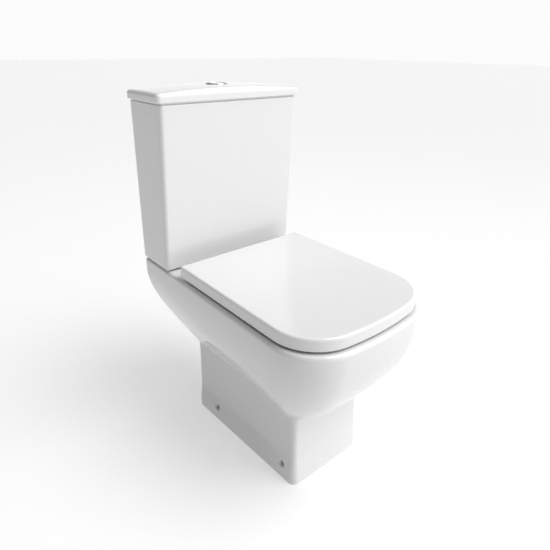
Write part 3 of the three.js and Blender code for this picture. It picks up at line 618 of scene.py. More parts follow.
def pan_outside():
    foot, rim = outline(FOOT_PLAN), outline(RIM_PLAN)
    rings = stacked(FOOT_PLAN, [(1.2 - FOOT_FLARE, 0), (0.3 - FOOT_FLARE, 0.4)])
    rings += stacked(FOOT_PLAN, [(-foot_flare(z), z) for z in (1.5, *np.linspace(10, 76, 16))])
    rings += [level(foot, z) for z in (100, 130, 160, CREASE_Z - 6, CREASE_Z - 1, CREASE_Z)]
    rings += [belly(foot, rim, z) for z in belly_heights(60)[:-1]]
    rings += stacked(RIM_PLAN, rounded(RIM_Z - RIM_ROUND, RIM_Z, RIM_ROUND, 10))
    rings += stacked(RIM_PLAN, [(inset, RIM_Z) for inset in (10, 14, 24)])
    return loft(rings)


def pan_inside():
    """The space inside the walls, open to the floor and to the wall behind."""
    foot, rim = outline(FOOT_PLAN, CHINA, 20), outline(RIM_PLAN, CHINA, 20)
    heights = [z for z in belly_heights(40) if z < DECK_UNDER_Z - 8]
    rings = [level(foot, -5), level(foot, CREASE_Z)]
    rings += [belly(foot, rim, z) for z in heights]
    rings += [level(rim, DECK_UNDER_Z - 5), *stacked(RIM_PLAN, [(CHINA + 4, DECK_UNDER_Z)], 16)]
    return loft(rings, finish=1)


def bowl_form(grow, over=0.0):
    """The bowl's inner surface, grown by its wall, rounded at the bottom."""
    rows = curve_through([(z, *shape) for z, shape in BOWL_LEVELS], 6)
    low, half, back, front = rows[0]
    middle = (back + front) / 2
    rings = []
    for t in np.linspace(0.15, 1, 8):
        shape = Oval(half * t, back * t + middle * (1 - t), front * t + middle * (1 - t))
        rings.append(level(oval(shape, grow * t), low - (10 + grow) * (1 - t * t) ** 0.5))
    rings += [level(oval(Oval(*row[1:]), grow), row[0]) for row in rows[1:]]
    rings[-1] = rings[-1] + np.array([0, 0, over])
    return loft(rings, finish=1 if grow else 0)


def trap_tube(radius, reach=0.0):
    route = [(TRAP_ROUTE[0][0] - reach, TRAP_ROUTE[0][1] + reach), *TRAP_ROUTE[1:-1],
             (TRAP_ROUTE[-1][0] + reach, TRAP_ROUTE[-1][1])]
    return tube(curve_through(route, 8), radius)


def opening_cut():
    """What the rim's opening takes away, with round edges above and below."""
    turn = np.linspace(0, math.pi / 2, 9)
    under, over = OPENING_ROUND["below"], OPENING_ROUND["above"]
    below = [(under * (1 - math.sin(t)), RIM_LIP_Z + under - under * math.cos(t)) for t in turn]
    above = [(over * (1 - math.cos(t)), RIM_Z - over + over * math.sin(t)) for t in turn]
    return ovals(OPENING, [(under, RIM_LIP_Z - 6), *below, *above, (over, RIM_Z + 4)])


def lip():
    return ovals(OPENING, [(RIM_LIP - 2.5, RIM_LIP_Z), (RIM_LIP - 0.8, RIM_LIP_Z + 0.8),
                           (RIM_LIP, RIM_LIP_Z + 2.5), (RIM_LIP, DECK_UNDER_Z + 4)])


def core(x, y, radius, low=370.0, high=RIM_Z + 4):
    """An upright cylinder whose sides are raw china, for a hole or for a pipe's wall."""
    return loft([level(circle(x, y, radius), low), level(circle(x, y, radius), high)], finish=1)


def foot_half(y):
    """Half the width of the foot above its flare, at a distance from the wall."""
    along = (y - FOOT_PLAN.back) / (FOOT_PLAN.front - FOOT_PLAN.back)
    return FOOT_PLAN.half_back + (FOOT_PLAN.half_front - FOOT_PLAN.half_back) * along


def side_hole(side, y):
    """A hole through the foot, with its outer edge eased by the glaze."""
    face = foot_half(y) + FOOT_FLARE_AT_HOLES
    profile = [(0, 0), (5.5, 0), (5.5, face - 74.6), (6.0, face - 72.4), (7.2, face - 71.2),
               (9.5, face - 70.6), (9.5, 45), (0, 45)]
    hole = laid(turned(0, 0, profile, 40), (70, y, SIDE_HOLE_Z), (120, y, SIDE_HOLE_Z))
    return hole if side > 0 else mirrored(hole)


def make_pan():
    pan = as_object(pan_outside(), "pan_casting", ("glazed_china", "raw_china"))
    sump = trap_tube(TRAP_OUTSIDE)
    sump = Shape(sump.points, sump.faces, [1] * len(sump.faces))
    steps = [
        cut(pan_inside()), bowl_form(BOWL_WALL, 4), block((-40, -266, 340), (40, VALVE_Y, 392), 4),
        core(0, VALVE_Y, 56, 340, 394), sump, cut(bowl_form(0)), cut(trap_tube(TRAP_BORE, 10)),
        cut(block((-30, -262, 350), (30, VALVE_Y, 380), 3)), cut(core(0, VALVE_Y, 29, 350)),
        cut(core(0, VALVE_Y, 46, 378)), lip(), cut(opening_cut()), cut(core(FILL_X, VALVE_Y, 20)),
    ]
    for side in (-1, 1):
        steps += [cut(core(side * COUPLING_X, VALVE_Y, 7)), cut(core(side * HINGE_X, HINGE_Y, 8))]
        steps += [cut(side_hole(side, y)) for y in SIDE_HOLE_YS.values()]
    carve(pan, *steps)
    return placed(smooth(pan, 15), "pan", "bowl", "trapway")


# ------------------------------------------------------------------ cistern and its lid


def cistern_plan(z):
    rise = (z - CISTERN_Z) / (CISTERN_TOP_Z - CISTERN_Z)
    return Plan(*(low + (high - low) * rise for low, high in zip(CISTERN_FOOT, CISTERN_HEAD)))


def make_cistern():
    outside = rounded(CISTERN_Z + CISTERN_EDGE, CISTERN_Z, CISTERN_EDGE, 8)[::-1]
    outside += [(0, z) for z in np.linspace(CISTERN_Z + 10, CISTERN_TOP_Z - 3, 40)]
    rings = [level(outline(cistern_plan(z), inset, 0), z) for inset, z in outside]
    rings += stacked(CISTERN_HEAD, rounded(CISTERN_TOP_Z - 2.5, CISTERN_TOP_Z, 2.5, 6), 0)
    cistern = as_object(loft(rings), "cistern_box", ("glazed_china", "raw_china"))
    inside = rounded(CISTERN_FLOOR_Z + 12, CISTERN_FLOOR_Z, 12, 6)[::-1]
    inside += [(0, z) for z in (500, 600, 700, CISTERN_TOP_Z - 3)]
    chamber = [level(outline(cistern_plan(z), CISTERN_WALL + inset), z) for inset, z in inside]
    chamber += stacked(CISTERN_HEAD, [(CISTERN_WALL - 2.5, CISTERN_TOP_Z + 2)])
    holes = [(0, 28.5), (FILL_X, 11.5), (COUPLING_X, 5.5), (-COUPLING_X, 5.5)]
    carve(cistern, cut(loft(chamber)), *(
        cut(core(x, VALVE_Y, radius, CISTERN_Z - 5, CISTERN_FLOOR_Z + 5)) for x, radius in holes))
    return placed(smooth(cistern), "cistern")


def lid_crown(points):
    """The top of the cistern lid, a shallow crown from side to side and from back to front."""
    middle = LID_PLAN.front / 2
    x, y = points[:, 0] / LID_PLAN.half_back, (points[:, 1] - middle) / middle
    return LID_TOP_Z - LID_CROWN * x ** 2 - 1.5 * y ** 2


def make_cistern_lid():
    rings = stacked(LID_PLAN, rounded(LID_SKIRT_Z + 2, LID_SKIRT_Z, 1.6, 5)[::-1])
    rings += stacked(LID_PLAN, [(0, z) for z in (782, 785.5, LID_SIDE_Z)])
    for turn in np.linspace(0, math.pi / 2, 13)[1:]:
        ring = outline(LID_PLAN, LID_EDGE * (1 - math.cos(turn)))
        rings.append(level(ring, LID_SIDE_Z + (lid_crown(ring) - LID_SIDE_Z) * math.sin(turn)))
    middle = np.array([0, LID_PLAN.front / 2])
    edge = outline(LID_PLAN, LID_EDGE)
    for share in (0.985, 0.96, *np.linspace(0.9, 0.06, 15)):
        ring = middle + (edge - middle) * share
        rings.append(level(ring, lid_crown(ring)))
    lid = as_object(loft(rings), "cistern_lid_shell", ("glazed_china", "raw_china"))
    land = stacked(CISTERN_HEAD, [(3, CISTERN_TOP_Z + 0.3), (3, LID_SKIRT_Z + 1)], -3)
    wall = CISTERN_WALL
    inner_lip = stacked(CISTERN_HEAD, [
        (wall + 4, CISTERN_TOP_Z - 8), (wall + 2.6, CISTERN_TOP_Z - 7.4),
        (wall + 2, CISTERN_TOP_Z - 6), (wall + 2, LID_SKIRT_Z + 1)])
    hollow = stacked(CISTERN_HEAD, [
        (wall + 6, CISTERN_TOP_Z - 10), (wall + 8, CISTERN_TOP_Z - 5), (wall + 8, LID_SIDE_Z - 3),
        (wall + 11, LID_SIDE_Z), (wall + 16, LID_TOP_Z - 15)])
    carve(lid, loft(land), loft(inner_lip), cut(loft(hollow, finish=1)),
          cut(core(0, VALVE_Y, 23, LID_SKIRT_Z - 20, LID_TOP_Z + 5)))
    return placed(smooth(lid), "cistern_lid")


# ------------------------------------------------------------------ seat


def hinge_bar(low, high, radius=HINGE_BOSS):
    start, end = sorted((low, high))
    return rod((start, HINGE_Y, HINGE_Z), (end, HINGE_Y, HINGE_Z), radius, 0.6)


def hinge_bores():
    return [cut(hinge_bar(side * 50, side * 118, HINGE_PIN + 0.3)) for side in (-1, 1)]


def make_seat_ring():
    rings = stacked(RING_PLAN, rounded(RING_BASE_Z + 3, RING_BASE_Z, 2.5, 5)[::-1])
    rings += stacked(RING_PLAN, [(0, RING_BASE_Z + 4), (0, RING_TOP_Z - 6)])
    rings += stacked(RING_PLAN, rounded(RING_TOP_Z - 5, RING_TOP_Z - 0.2, 5, 8))
    rings += stacked(RING_PLAN, [(6.5, RING_TOP_Z - 0.1), (12, RING_TOP_Z), (24, RING_TOP_Z)])
    ring = as_object(loft(rings), "seat_ring_moulding", ("seat_plastic",))
    hole = [(4.0, RING_BASE_Z - 2), (3.0, RING_BASE_Z)]
    hole += [(2.5 * (1 - math.sin(t)), RING_BASE_Z + 2.5 - 2.5 * math.cos(t))
             for t in np.linspace(0.3, 1.57, 5)]
    hole += [(9.0 * (1 - math.cos(t)), RING_TOP_Z - 7 + 7.02 * math.sin(t))
             for t in np.linspace(0, 1.57, 12)]
    hole.append((12.0, RING_TOP_Z + 3))
    steps = [cut(ovals(RING_OPENING, hole))]
    near, far = RING_SLOT
    for side in (-1, 1):
        low, high = sorted((side * near, side * far))
        steps.append(cut(block((low, HINGE_Y - 9, 400), (high, HINGE_Y + 20, 430), 1.2)))
    for side in (-1, 1):
        steps.append(hinge_bar(side * (near - 11), side * near))
        steps.append(hinge_bar(side * far, side * (far + 11)))
    carve(ring, *steps, *hinge_bores())
    return placed(smooth(ring), "seat_ring")


def make_seat_lid():
    side_top, crown_z = SEAT_LID_TOP_Z - 6.5, SEAT_LID_TOP_Z - 0.9
    rings = stacked(SEAT_LID_PLAN, rounded(SEAT_LID_BASE_Z + 1.4, SEAT_LID_BASE_Z, 1.2, 4)[::-1])
    heights = np.linspace(SEAT_LID_BASE_Z + 2.5, side_top - 1, 6)
    rings += stacked(SEAT_LID_PLAN, [(0, z) for z in heights])
    rings += stacked(SEAT_LID_PLAN, rounded(side_top, crown_z, 5.5, 12))
    for inset in (6.2, 7.5, 10, 14, 20, 28, 38, 50, 64):
        rise = 1 - (1 - (inset - 5.5) / 60) ** 2
        z = crown_z + (SEAT_LID_TOP_Z - crown_z) * min(rise, 1)
        rings += stacked(SEAT_LID_PLAN, [(inset, z)])
    lid = as_object(loft(rings), "seat_lid_moulding", ("seat_plastic",))
    wall, ceiling = SEAT_LID_WALL, SEAT_LID_CEILING_Z
    inner = loft(stacked(SEAT_LID_PLAN, [
        (wall, SEAT_LID_BASE_Z - 2), (wall, ceiling - 3), (wall + 0.9, ceiling - 0.9),
        (wall + 3, ceiling)]))
    half = SEAT_LID_PLAN.half_back - wall - 0.3
    open_back = block((-half, HINGE_Y + 6, 400), (half, HINGE_Y + 20, ceiling))
    sweep = HINGE_Z - HINGE_DISC_Z - 0.6
    turn = np.linspace(0, math.pi / 2, 13)
    corner = [(HINGE_Y + sweep * math.sin(t), HINGE_Z - sweep * math.cos(t)) for t in turn]
    corner += [(HINGE_Y + 30, HINGE_Z), (HINGE_Y + 30, HINGE_Z - 30), (HINGE_Y, HINGE_Z - 30)]
    relief = outward(loft([np.array([(x, y, z) for y, z in corner]) for x in (-200, 200)]))
    steps = [cut(inner), cut(relief), cut(open_back)]
    for side in (-1, 1):
        low, high = sorted(side * x for x in LID_EAR)
        steps.append(block((low, HINGE_Y - 6, HINGE_Z), (high, HINGE_Y + 6, ceiling + 1)))
        steps.append(hinge_bar(low, high))
    carve(lid, *steps, *hinge_bores())
    return placed(smooth(lid), "seat_lid")


make_pan()
make_cistern()
make_cistern_lid()
make_seat_ring()
make_seat_lid()

# ------------------------------------------------------------------ rules for what repeats


class Rule(Tree):
    """A Geometry Nodes tree with named inputs, and the pieces it makes."""

    def __init__(self, name, **inputs):
        self.group = bpy.data.node_groups.new(name, "GeometryNodeTree")
        self.group.interface.new_socket("Geometry", in_out="OUTPUT", socket_type="NodeSocketGeometry")
        self.sockets = {}
        for key, kind in {**inputs, "Place": "Vector", "Material": "Material"}.items():
            made = self.group.interface.new_socket(key, in_out="INPUT", socket_type=f"NodeSocket{kind}")
            self.sockets[key] = made.identifier
        super().__init__(self.group)
        self.entry = self.group.nodes.new("NodeGroupInput")

    def given(self, key):
        return Value(self, self.entry.outputs[key])

    def ends_with(self, geometry):
        set_down = {"Geometry": geometry, "Translation": self.given("Place")}
        moved_to = self.node("GeometryNodeTransform", inputs=set_down)
        soft = self.node("GeometryNodeSetShadeSmooth", inputs={"Geometry": moved_to})
        real = self.node("GeometryNodeRealizeInstances", inputs={0: soft})
        painted = {"Geometry": real, "Material": self.given("Material")}
        self.node("NodeGroupOutput", inputs={0: self.node("GeometryNodeSetMaterial", inputs=painted)})

    def make(self, name, node, x, y, z, **values):
        thing = bpy.data.objects.new(name, bpy.data.meshes.new(name))
        bpy.context.scene.collection.objects.link(thing)
        change = thing.modifiers.new("rule", "NODES")
        change.node_group = self.group
        values.update(Place=(x * MM, (y + WALL_Y) * MM, z * MM), Material=FINISHES[SLOT[node]])
        for key, value in values.items():
            change[self.sockets[key]] = value
        return placed(settle(thing), node)


def helix_rule():
    """A round wire wound up an upright axis."""
    rule = Rule("helix", Turns="Float", Reach="Float", Rise="Float", Wire="Float", Sides="Int")
    spiral = rule.node("GeometryNodeCurveSpiral", inputs={
        "Resolution": 28, "Rotations": rule.given("Turns"), "Start Radius": rule.given("Reach"),
        "End Radius": rule.given("Reach"), "Height": rule.given("Rise")})
    section = rule.node("GeometryNodeCurvePrimitiveCircle", inputs={
        0: rule.given("Sides"), 4: rule.given("Wire")})
    wire = {"Curve": spiral, "Profile Curve": section, "Fill Caps": True}
    rule.ends_with(rule.node("GeometryNodeCurveToMesh", inputs=wire))
    return rule


def ribs_rule():
    """Upright half-round ribs, evenly spaced round an axis."""
    rule = Rule("ribs", Count="Int", Reach="Float", Tall="Float", Rib="Float")
    places = rule.node("GeometryNodeMeshCircle", inputs={
        "Vertices": rule.given("Count"), "Radius": rule.given("Reach")})
    rib = rule.node("GeometryNodeMeshCylinder", inputs={
        "Vertices": 10, "Radius": rule.given("Rib"), "Depth": rule.given("Tall")})
    spread = {"Points": places, "Instance": rib}
    rule.ends_with(rule.node("GeometryNodeInstanceOnPoints", inputs=spread))
    return rule


HELIX, RIBS = helix_rule(), ribs_rule()


def wound(name, node, x, y, low, high, reach, wire, turns, sides=10):
    return HELIX.make(name, node, x, y, low, Turns=float(turns), Reach=reach * MM,
                      Rise=(high - low) * MM, Wire=wire * MM, Sides=sides)


def thread(node, x, y, low, high, reach, pitch):
    """The raised ridge of a screw thread on a shank."""
    turns = (high - low) / pitch
    wound(f"fine_{node}_thread", node, x, y, low, high, reach, pitch * 0.34, turns, 6)


def ribbed(node, x, y, low, high, reach, rib, count):
    RIBS.make(f"fine_{node}_ribs", node, x, y, (low + high) / 2, Count=count, Reach=reach * MM,
              Tall=(high - low) * MM, Rib=rib * MM)


# ------------------------------------------------------------------ fixings under the china

HANDS = {"left": -1, "right": 1}
GAP = 0.3
BOLT_THREAD = (3.55, 1.25)


def handed(step, side):
    """A shape, or a step with one, on the left or the right."""
    if isinstance(step[0], str):
        return step[0], handed(step[1], side)
    return step if side > 0 else mirrored(step)


def wall_inside(y):
    """Where a bracket stands against the inside of the foot."""
    return foot_half(y) - CHINA - 4


def floor_bracket(node, side, y):
    face = wall_inside(y)
    turn = np.linspace(0, -math.pi / 2, 7)
    bend = [(face - 9 + 5 * math.cos(t), 9 + 5 * math.sin(t)) for t in turn]
    fillet = [(face - 3.5, 3.5), (face - 3.5, 9), *bend, (face - 9, 3.5)]
    shapes = [
        block((face - 4, y - 12, 0), (face, y + 12, 58), 0.9),
        block((face - 34, y - 12, 0), (face, y + 12, 4), 0.9),
        outward(loft([np.array([(x, y + edge, z) for x, z in fillet]) for edge in (-11.3, 11.3)])),
        cut(rod((face - 10, y, SIDE_HOLE_Z), (face + 5, y, SIDE_HOLE_Z), 3)),
        cut(turned(face - 20, y, [(0, -1), (3.5, -1), (3.5, 2.2), (6, 4.4), (6, 6), (0, 6)])),
    ]
    fitting(node, *(handed(shape, side) for shape in shapes))


def side_screw(node, side, y):
    """A slotted pan head screw through the foot into its bracket, with a point and rolled ridges."""
    inner, seat = wall_inside(y) - 12, wall_inside(y) + GAP
    long = seat + 7 - inner
    profile = [(0, 0), (0.4, 0.2), (1.9, 3)]
    for z in np.arange(3.4, long - 5.4, 1.1):
        profile += [(1.95, z), (2.55, z + 0.42), (1.95, z + 0.84)]
    profile += [(2.1, long - 4), (5, long - 4), (5, long - 2.2), (4.6, long - 1.1),
                (3.4, long - 0.3), (1.8, long), (0, long)]
    shank = laid(turned(0, 0, profile, 40), (inner, y, SIDE_HOLE_Z), (seat + 7, y, SIDE_HOLE_Z))
    slot = block((seat + 5.5, y - 0.7, SIDE_HOLE_Z - 6), (seat + 8, y + 0.7, SIDE_HOLE_Z + 6))
    fitting(node, handed(shank, side), cut(handed(slot, side)))


def coupling_bolt(node, x):
    low, head = CISTERN_FLOOR_Z + 4, CISTERN_FLOOR_Z + 10
    shank = turned(x, VALVE_Y, [(0, 352), (2.9, 352), (3.6, 352.8), (3.6, head - 3), (0, head - 3)])
    hexagon = loft([level(circle(x, VALVE_Y, 8.5, 6), z) for z in (low, head)])
    eased = turned(x, VALVE_Y, [
        (0, low), (7.6, low), (8.6, low + 0.6), (8.6, head - 0.7), (7.2, head), (0, head)])
    fitting(node, hexagon, shared(eased), shank)
    thread(node, x, VALVE_Y, 353, 411, *BOLT_THREAD)


def rubber_cone(node, x):
    low = CISTERN_FLOOR_Z + GAP
    fitting(node, turned(x, VALVE_Y, [
        (4.3, low + 0.3), (4.7, low), (12.6, low), (13, low + 0.3), (12.9, low + 0.8), (10.3, low + 3),
        (9.7, low + 3.3), (4.7, low + 3.3), (4.3, low + 3), (4.3, low + 0.3)]))


def wing_nut(node, x, y, top):
    """A hub that tapers down, and two wings with a hollow in the edge for a thumb."""
    hub = turned(x, y, [(0, top - 11), (6.6, top - 11), (7.6, top - 10.2), (8.4, top - 3),
                        (8.8, top - 1.8), (8.8, top - 0.4), (8.4, top), (0, top)])
    wings = block((x - 19, y - 2, top - 9), (x + 19, y + 2, top - 1), 1.9, 5)
    thumbs = [cut(rod((x + reach, y - 5, top + 6.2), (x + reach, y + 5, top + 6.2), 8.2))
              for reach in (-13.2, 13.2)]
    bore = turned(x, y, [
        (0, top - 13), (5.2, top - 12), (5.2, top - 11), (4.3, top - 10), (4.3, top - 0.8),
        (4.9, top), (4.9, top + 2), (0, top + 2)])
    fitting(node, wings, *thumbs, hub, cut(bore))


def ring_seal(node, x, low, high, inner, outer):
    fitting(node, sleeve(x, VALVE_Y, low, high, inner, outer, 0.4))


def backnut(node, x, low, inner, outer, rib, count):
    high = CISTERN_Z - GAP
    fitting(node, sleeve(x, VALVE_Y, low, high, inner, outer - rib, 0.6))
    ribbed(node, x, VALVE_Y, low + 0.8, high - 2.5, outer - rib, rib, count)


def hinge_post(node, x):
    """A polished disc with a rounded edge, an upright that carries the pin, and a threaded stud."""
    edge = [(19 - 0.9 * (1 - math.cos(t)), HINGE_DISC_Z - 0.9 + 0.9 * math.sin(t))
            for t in np.linspace(0, 1.57, 6)]
    disc = turned(x, HINGE_Y, [(0, RIM_Z + GAP), (18.7, RIM_Z + GAP), (19, RIM_Z + 0.6), *edge,
                               (0, HINGE_DISC_Z)], 96)
    upright = block((x - POST_HALF, HINGE_Y - HINGE_BOSS, RIM_Z + 1),
                    (x + POST_HALF, HINGE_Y + HINGE_BOSS, HINGE_Z), 0.7)
    stud = turned(x, HINGE_Y, [
        (0, 345), (2.9, 345), (3.6, 345.8), (3.6, RIM_Z + 1), (0, RIM_Z + 1)])
    bore = rod((x - 20, HINGE_Y, HINGE_Z), (x + 20, HINGE_Y, HINGE_Z), HINGE_PIN + GAP)
    fitting(node, disc, upright, hinge_bar(x - POST_HALF, x + POST_HALF), stud, cut(bore))
    thread(node, x, HINGE_Y, 346, 398, *BOLT_THREAD)


def hinge_pin(node, side):
    ends = [(side * reach, HINGE_Y, HINGE_Z)
            for reach in (RING_SLOT[0] - 10.5, RING_SLOT[1] + 10.5)]
    fitting(node, rod(*ends, HINGE_PIN, 0.6))


def buffer(node, x, y, low, high, radius):
    """A soft button with a dished face, pressed into the moulding above it."""
    face = [(0, low + 0.5), (radius * 0.45, low + 0.4), (radius - 2.2, low),
            (radius - 0.9, low + 0.15), (radius - 0.2, low + 0.8), (radius, low + 1.6)]
    fitting(node, turned(x, y, [*face, (radius, high), (0, high)]))


for hand, side in HANDS.items():
    for end, y in SIDE_HOLE_YS.items():
        floor_bracket(f"floor_bracket_{end}_{hand}", side, y)
        side_screw(f"side_screw_{end}_{hand}", side, y)
    coupling_bolt(f"coupling_bolt_{hand}", side * COUPLING_X)
    rubber_cone(f"coupling_washer_{hand}", side * COUPLING_X)
    wing_nut(f"coupling_wing_nut_{hand}", side * COUPLING_X, VALVE_Y, DECK_UNDER_Z - GAP)
    hinge_post(f"hinge_post_{hand}", side * HINGE_X)
    hinge_pin(f"hinge_pin_{hand}", side)
    fitting(f"hinge_washer_{hand}", sleeve(
        side * HINGE_X, HINGE_Y, DECK_UNDER_Z - 2.8, DECK_UNDER_Z - GAP, 4.3, 13, 0.4))
    wing_nut(f"hinge_wing_nut_{hand}", side * HINGE_X, HINGE_Y, DECK_UNDER_Z - 3.1)
    buffer(f"ring_buffer_front_{hand}", side * 118, -525, RIM_Z + GAP, RING_BASE_Z - GAP, 8)
    buffer(f"ring_buffer_rear_{hand}", side * 142, -262, RIM_Z + GAP, RING_BASE_Z - GAP, 8)
    buffer(f"lid_buffer_{hand}", side * 118, -530, RING_TOP_Z + GAP, SEAT_LID_CEILING_Z - GAP, 6)

# ------------------------------------------------------------------ flush valve

FLANGE_Z = CISTERN_FLOOR_Z + 3.5
VALVE_SEAT_Z = 426
TOWER_TOP_Z = 600
HEAD_PLATE_Z = 660
LEVER_Z = 682
ROD_X = 12
ROD_DY = 7
YOKE_LIP_Z = {-1: 686.5, 1: 697}


def doughnut_gasket():
    low, high = DECK_UNDER_Z - 10 + GAP, CISTERN_Z - GAP
    fitting("doughnut_gasket", turned(0, VALVE_Y, [
        (36, low + 0.8), (36.8, low), (42.2, low), (43.4, low + 0.5), (44.7, low + 2.4),
        (45, low + 4), (45, high - 6), (44.6, high - 4), (43.5, high - 1), (42.4, high),
        (38.6, high), (37.5, high - 0.6), (36.2, high - 2.8), (36, high - 4), (36, low + 0.8)], 96))


def flush_valve_base():
    fitting("flush_valve_base", turned(0, VALVE_Y, [
        (22, 372.8), (22.6, 372), (25.9, 372), (26.3, 373), (26.3, FLANGE_Z), (36.4, FLANGE_Z),
        (37, FLANGE_Z + 0.6), (37, FLANGE_Z + 3.2), (36.2, FLANGE_Z + 4), (28, FLANGE_Z + 4),
        (27, FLANGE_Z + 4.4), (25, VALVE_SEAT_Z - 0.6), (24.5, VALVE_SEAT_Z), (23.5, VALVE_SEAT_Z),
        (23, VALVE_SEAT_Z - 0.6), (22, FLANGE_Z), (22, 372.8)], 96))
    thread("flush_valve_base", 0, VALVE_Y, 373.5, 401, 26.1, 1.8)


def tower_ear(x, y):
    """A lug that holds one end of a lever's pivot, with a round top."""
    low = block((x - 5, y - 1.6, HEAD_PLATE_Z + 1), (x + 5, y + 1.6, LEVER_Z), 0.4)
    return [low, rod((x, y - 1.6, LEVER_Z), (x, y + 1.6, LEVER_Z), 5, 0.4)]


def flush_valve_tower():
    low = FLANGE_Z + 4 + GAP
    shapes = [sleeve(0, VALVE_Y, low, TOWER_TOP_Z, 31, 35, 0.8, 96)]
    for degrees in (30, 90, 150):
        window = block((-50, -9, low + 8), (50, 9, 500), 4, 5)
        turn = np.array(Matrix.Rotation(math.radians(degrees), 3, "Z"))
        spun = Shape(window.points @ turn.T, window.faces, window.finish)
        shapes.append(cut(moved(spun, (0, VALVE_Y, 0))))
    for z in (520, 560):
        shapes.append(cut(sleeve(0, VALVE_Y, z, z + 1.2, 34.5, 37, 0.1, 96)))
    shapes.append(block((-24, VALVE_Y - 35, HEAD_PLATE_Z), (24, VALVE_Y + 35, HEAD_PLATE_Z + 4), 1.2))
    for side in (-1, 1):
        middle = VALVE_Y + side * 33
        shapes.append(block((-8, middle - 2, TOWER_TOP_Z - 20), (8, middle + 2, HEAD_PLATE_Z + 2), 0.7))
        for offset in (-6.6, 6.6):
            shapes += tower_ear(side * 4, VALVE_Y + side * ROD_DY + offset)
    for side in (-1, 1):
        shapes.append(cut(rod((side * 4, VALVE_Y - 25, LEVER_Z), (side * 4, VALVE_Y + 25, LEVER_Z), 2.3)))
    fitting("flush_valve_tower", *shapes)


def overflow_tube():
    stem = VALVE_SEAT_Z + 3.6
    bar = block((-40, VALVE_Y - 14, 636), (40, VALVE_Y + 14, 640), 0.9)
    shapes = [bar, turned(0, VALVE_Y, [
        (0, stem), (25.6, stem), (26, stem + 0.5), (26, stem + 2.4), (25.2, stem + 3),
        (18.4, stem + 3), (17.3, stem + 4), (17, stem + 6), (17, 642.8), (16.4, 644), (0, 644)])]
    for side, lip_z in YOKE_LIP_Z.items():
        y = VALVE_Y + side * ROD_DY
        low, high = sorted((side * 37, side * 40))
        shapes.append(block((low, VALVE_Y - 14, 636), (high, VALVE_Y + 14, lip_z + 3.5), 0.7))
        low, high = sorted((side * 26, side * 40))
        shapes.append(block((low, y - 4, lip_z), (high, y + 4, lip_z + 3.5), 0.7))
    bore = turned(0, VALVE_Y, [
        (0, stem - 2), (14.5, stem - 2), (14.5, 642), (15.5, 644.5), (0, 644.5)])
    fitting("overflow_tube", *shapes, cut(bore))


def flush_lever(node, turn):
    """A see-saw lever: the push rod bears on one end and the other end lifts the yoke."""
    y = VALVE_Y + turn * ROD_DY

    def across(x, radius, half):
        return rod((x, y - half, LEVER_Z), (x, y + half, LEVER_Z), radius, 0.4)

    def pocket(low, high):
        return cut(block((low, y - 2.4, LEVER_Z + 0.8), (high, y + 2.4, LEVER_Z + 4), 0.4))

    shapes = [
        block((-30, y - 4, LEVER_Z - 2), (12, y + 4, LEVER_Z + 2), 0.5),
        across(12, 4, 4), across(-30, 4, 4), across(-4, 3.6, 4), across(-4, 1.9, 7.6),
        pocket(-26, -9), pocket(1, 7),
    ]
    fitting(node, *(handed(shape, -turn) for shape in shapes))


doughnut_gasket()
flush_valve_base()
ring_seal("flush_valve_seal", 0, CISTERN_FLOOR_Z + GAP, CISTERN_FLOOR_Z + 3.2, 26.9, 36)
backnut("flush_valve_backnut", 0, 390, 26.9, 35, 1.3, 24)
flush_valve_tower()
overflow_tube()
ring_seal("sealing_washer", 0, VALVE_SEAT_Z + GAP, VALVE_SEAT_Z + 3.3, 17.5, 29)
flush_lever("full_flush_lever", -1)
flush_lever("half_flush_lever", 1)

# ------------------------------------------------------------------ dual flush button

BEZEL_Z = LID_TOP_Z + GAP
HOUSING_Z = 770
BUTTON_UNDER_Z = 797
BUTTON_TOP_Z = BEZEL_Z + 1.4
BUTTON_SPLIT_X = -4
LOCKNUT_TOP_Z = LID_TOP_Z - 16.2


def button_bezel():
    shapes = [turned(0, VALVE_Y, [
        (0, HOUSING_Z), (21.4, HOUSING_Z), (22, HOUSING_Z + 0.6), (22, BEZEL_Z), (24.7, BEZEL_Z),
        (25, BEZEL_Z + 0.3), (24.9, BEZEL_Z + 0.7), (24.5, BEZEL_Z + 1.2), (23.8, BEZEL_Z + 1.5),
        (23, BEZEL_Z + 1.6), (21.4, BEZEL_Z + 1.6), (20.7, BEZEL_Z + 1.45), (20.3, BEZEL_Z + 1),
        (20.2, BEZEL_Z + 0.6), (20.2, HOUSING_Z + 3), (0, HOUSING_Z + 3)], 128)]
    for turn in (-1, 1):
        hole = circle(-turn * ROD_X, VALVE_Y + turn * ROD_DY, 3.4, 40)
        shapes.append(cut(loft([level(hole, HOUSING_Z - 2), level(hole, HOUSING_Z + 5)])))
    fitting("button_bezel", *shapes)
    thread("button_bezel", 0, VALVE_Y, 773, 795, 21.75, 2)


def button_half(node, side):
    """One side of the round button, with a slightly crowned top and an eased edge."""
    edge = [(19.8 - 1.2 * (1 - math.cos(t)), BUTTON_TOP_Z - 1.3 + 1.0 * math.sin(t))
            for t in np.linspace(0, 1.57, 7)]
    crown = [(r, BUTTON_TOP_Z - 0.3 * (r / 18.6) ** 2) for r in (16, 12, 8, 4)]
    disc = turned(0, VALVE_Y, [
        (0, BUTTON_UNDER_Z), (19.2, BUTTON_UNDER_Z), (19.8, BUTTON_UNDER_Z + 0.6), *edge, *crown,
        (0, BUTTON_TOP_Z)], 128)
    low, high = (BUTTON_SPLIT_X + GAP, 30) if side > 0 else (-30, BUTTON_SPLIT_X - GAP)
    fitting(node, disc, shared(block((low, VALVE_Y - 30, 780), (high, VALVE_Y + 30, 820))))


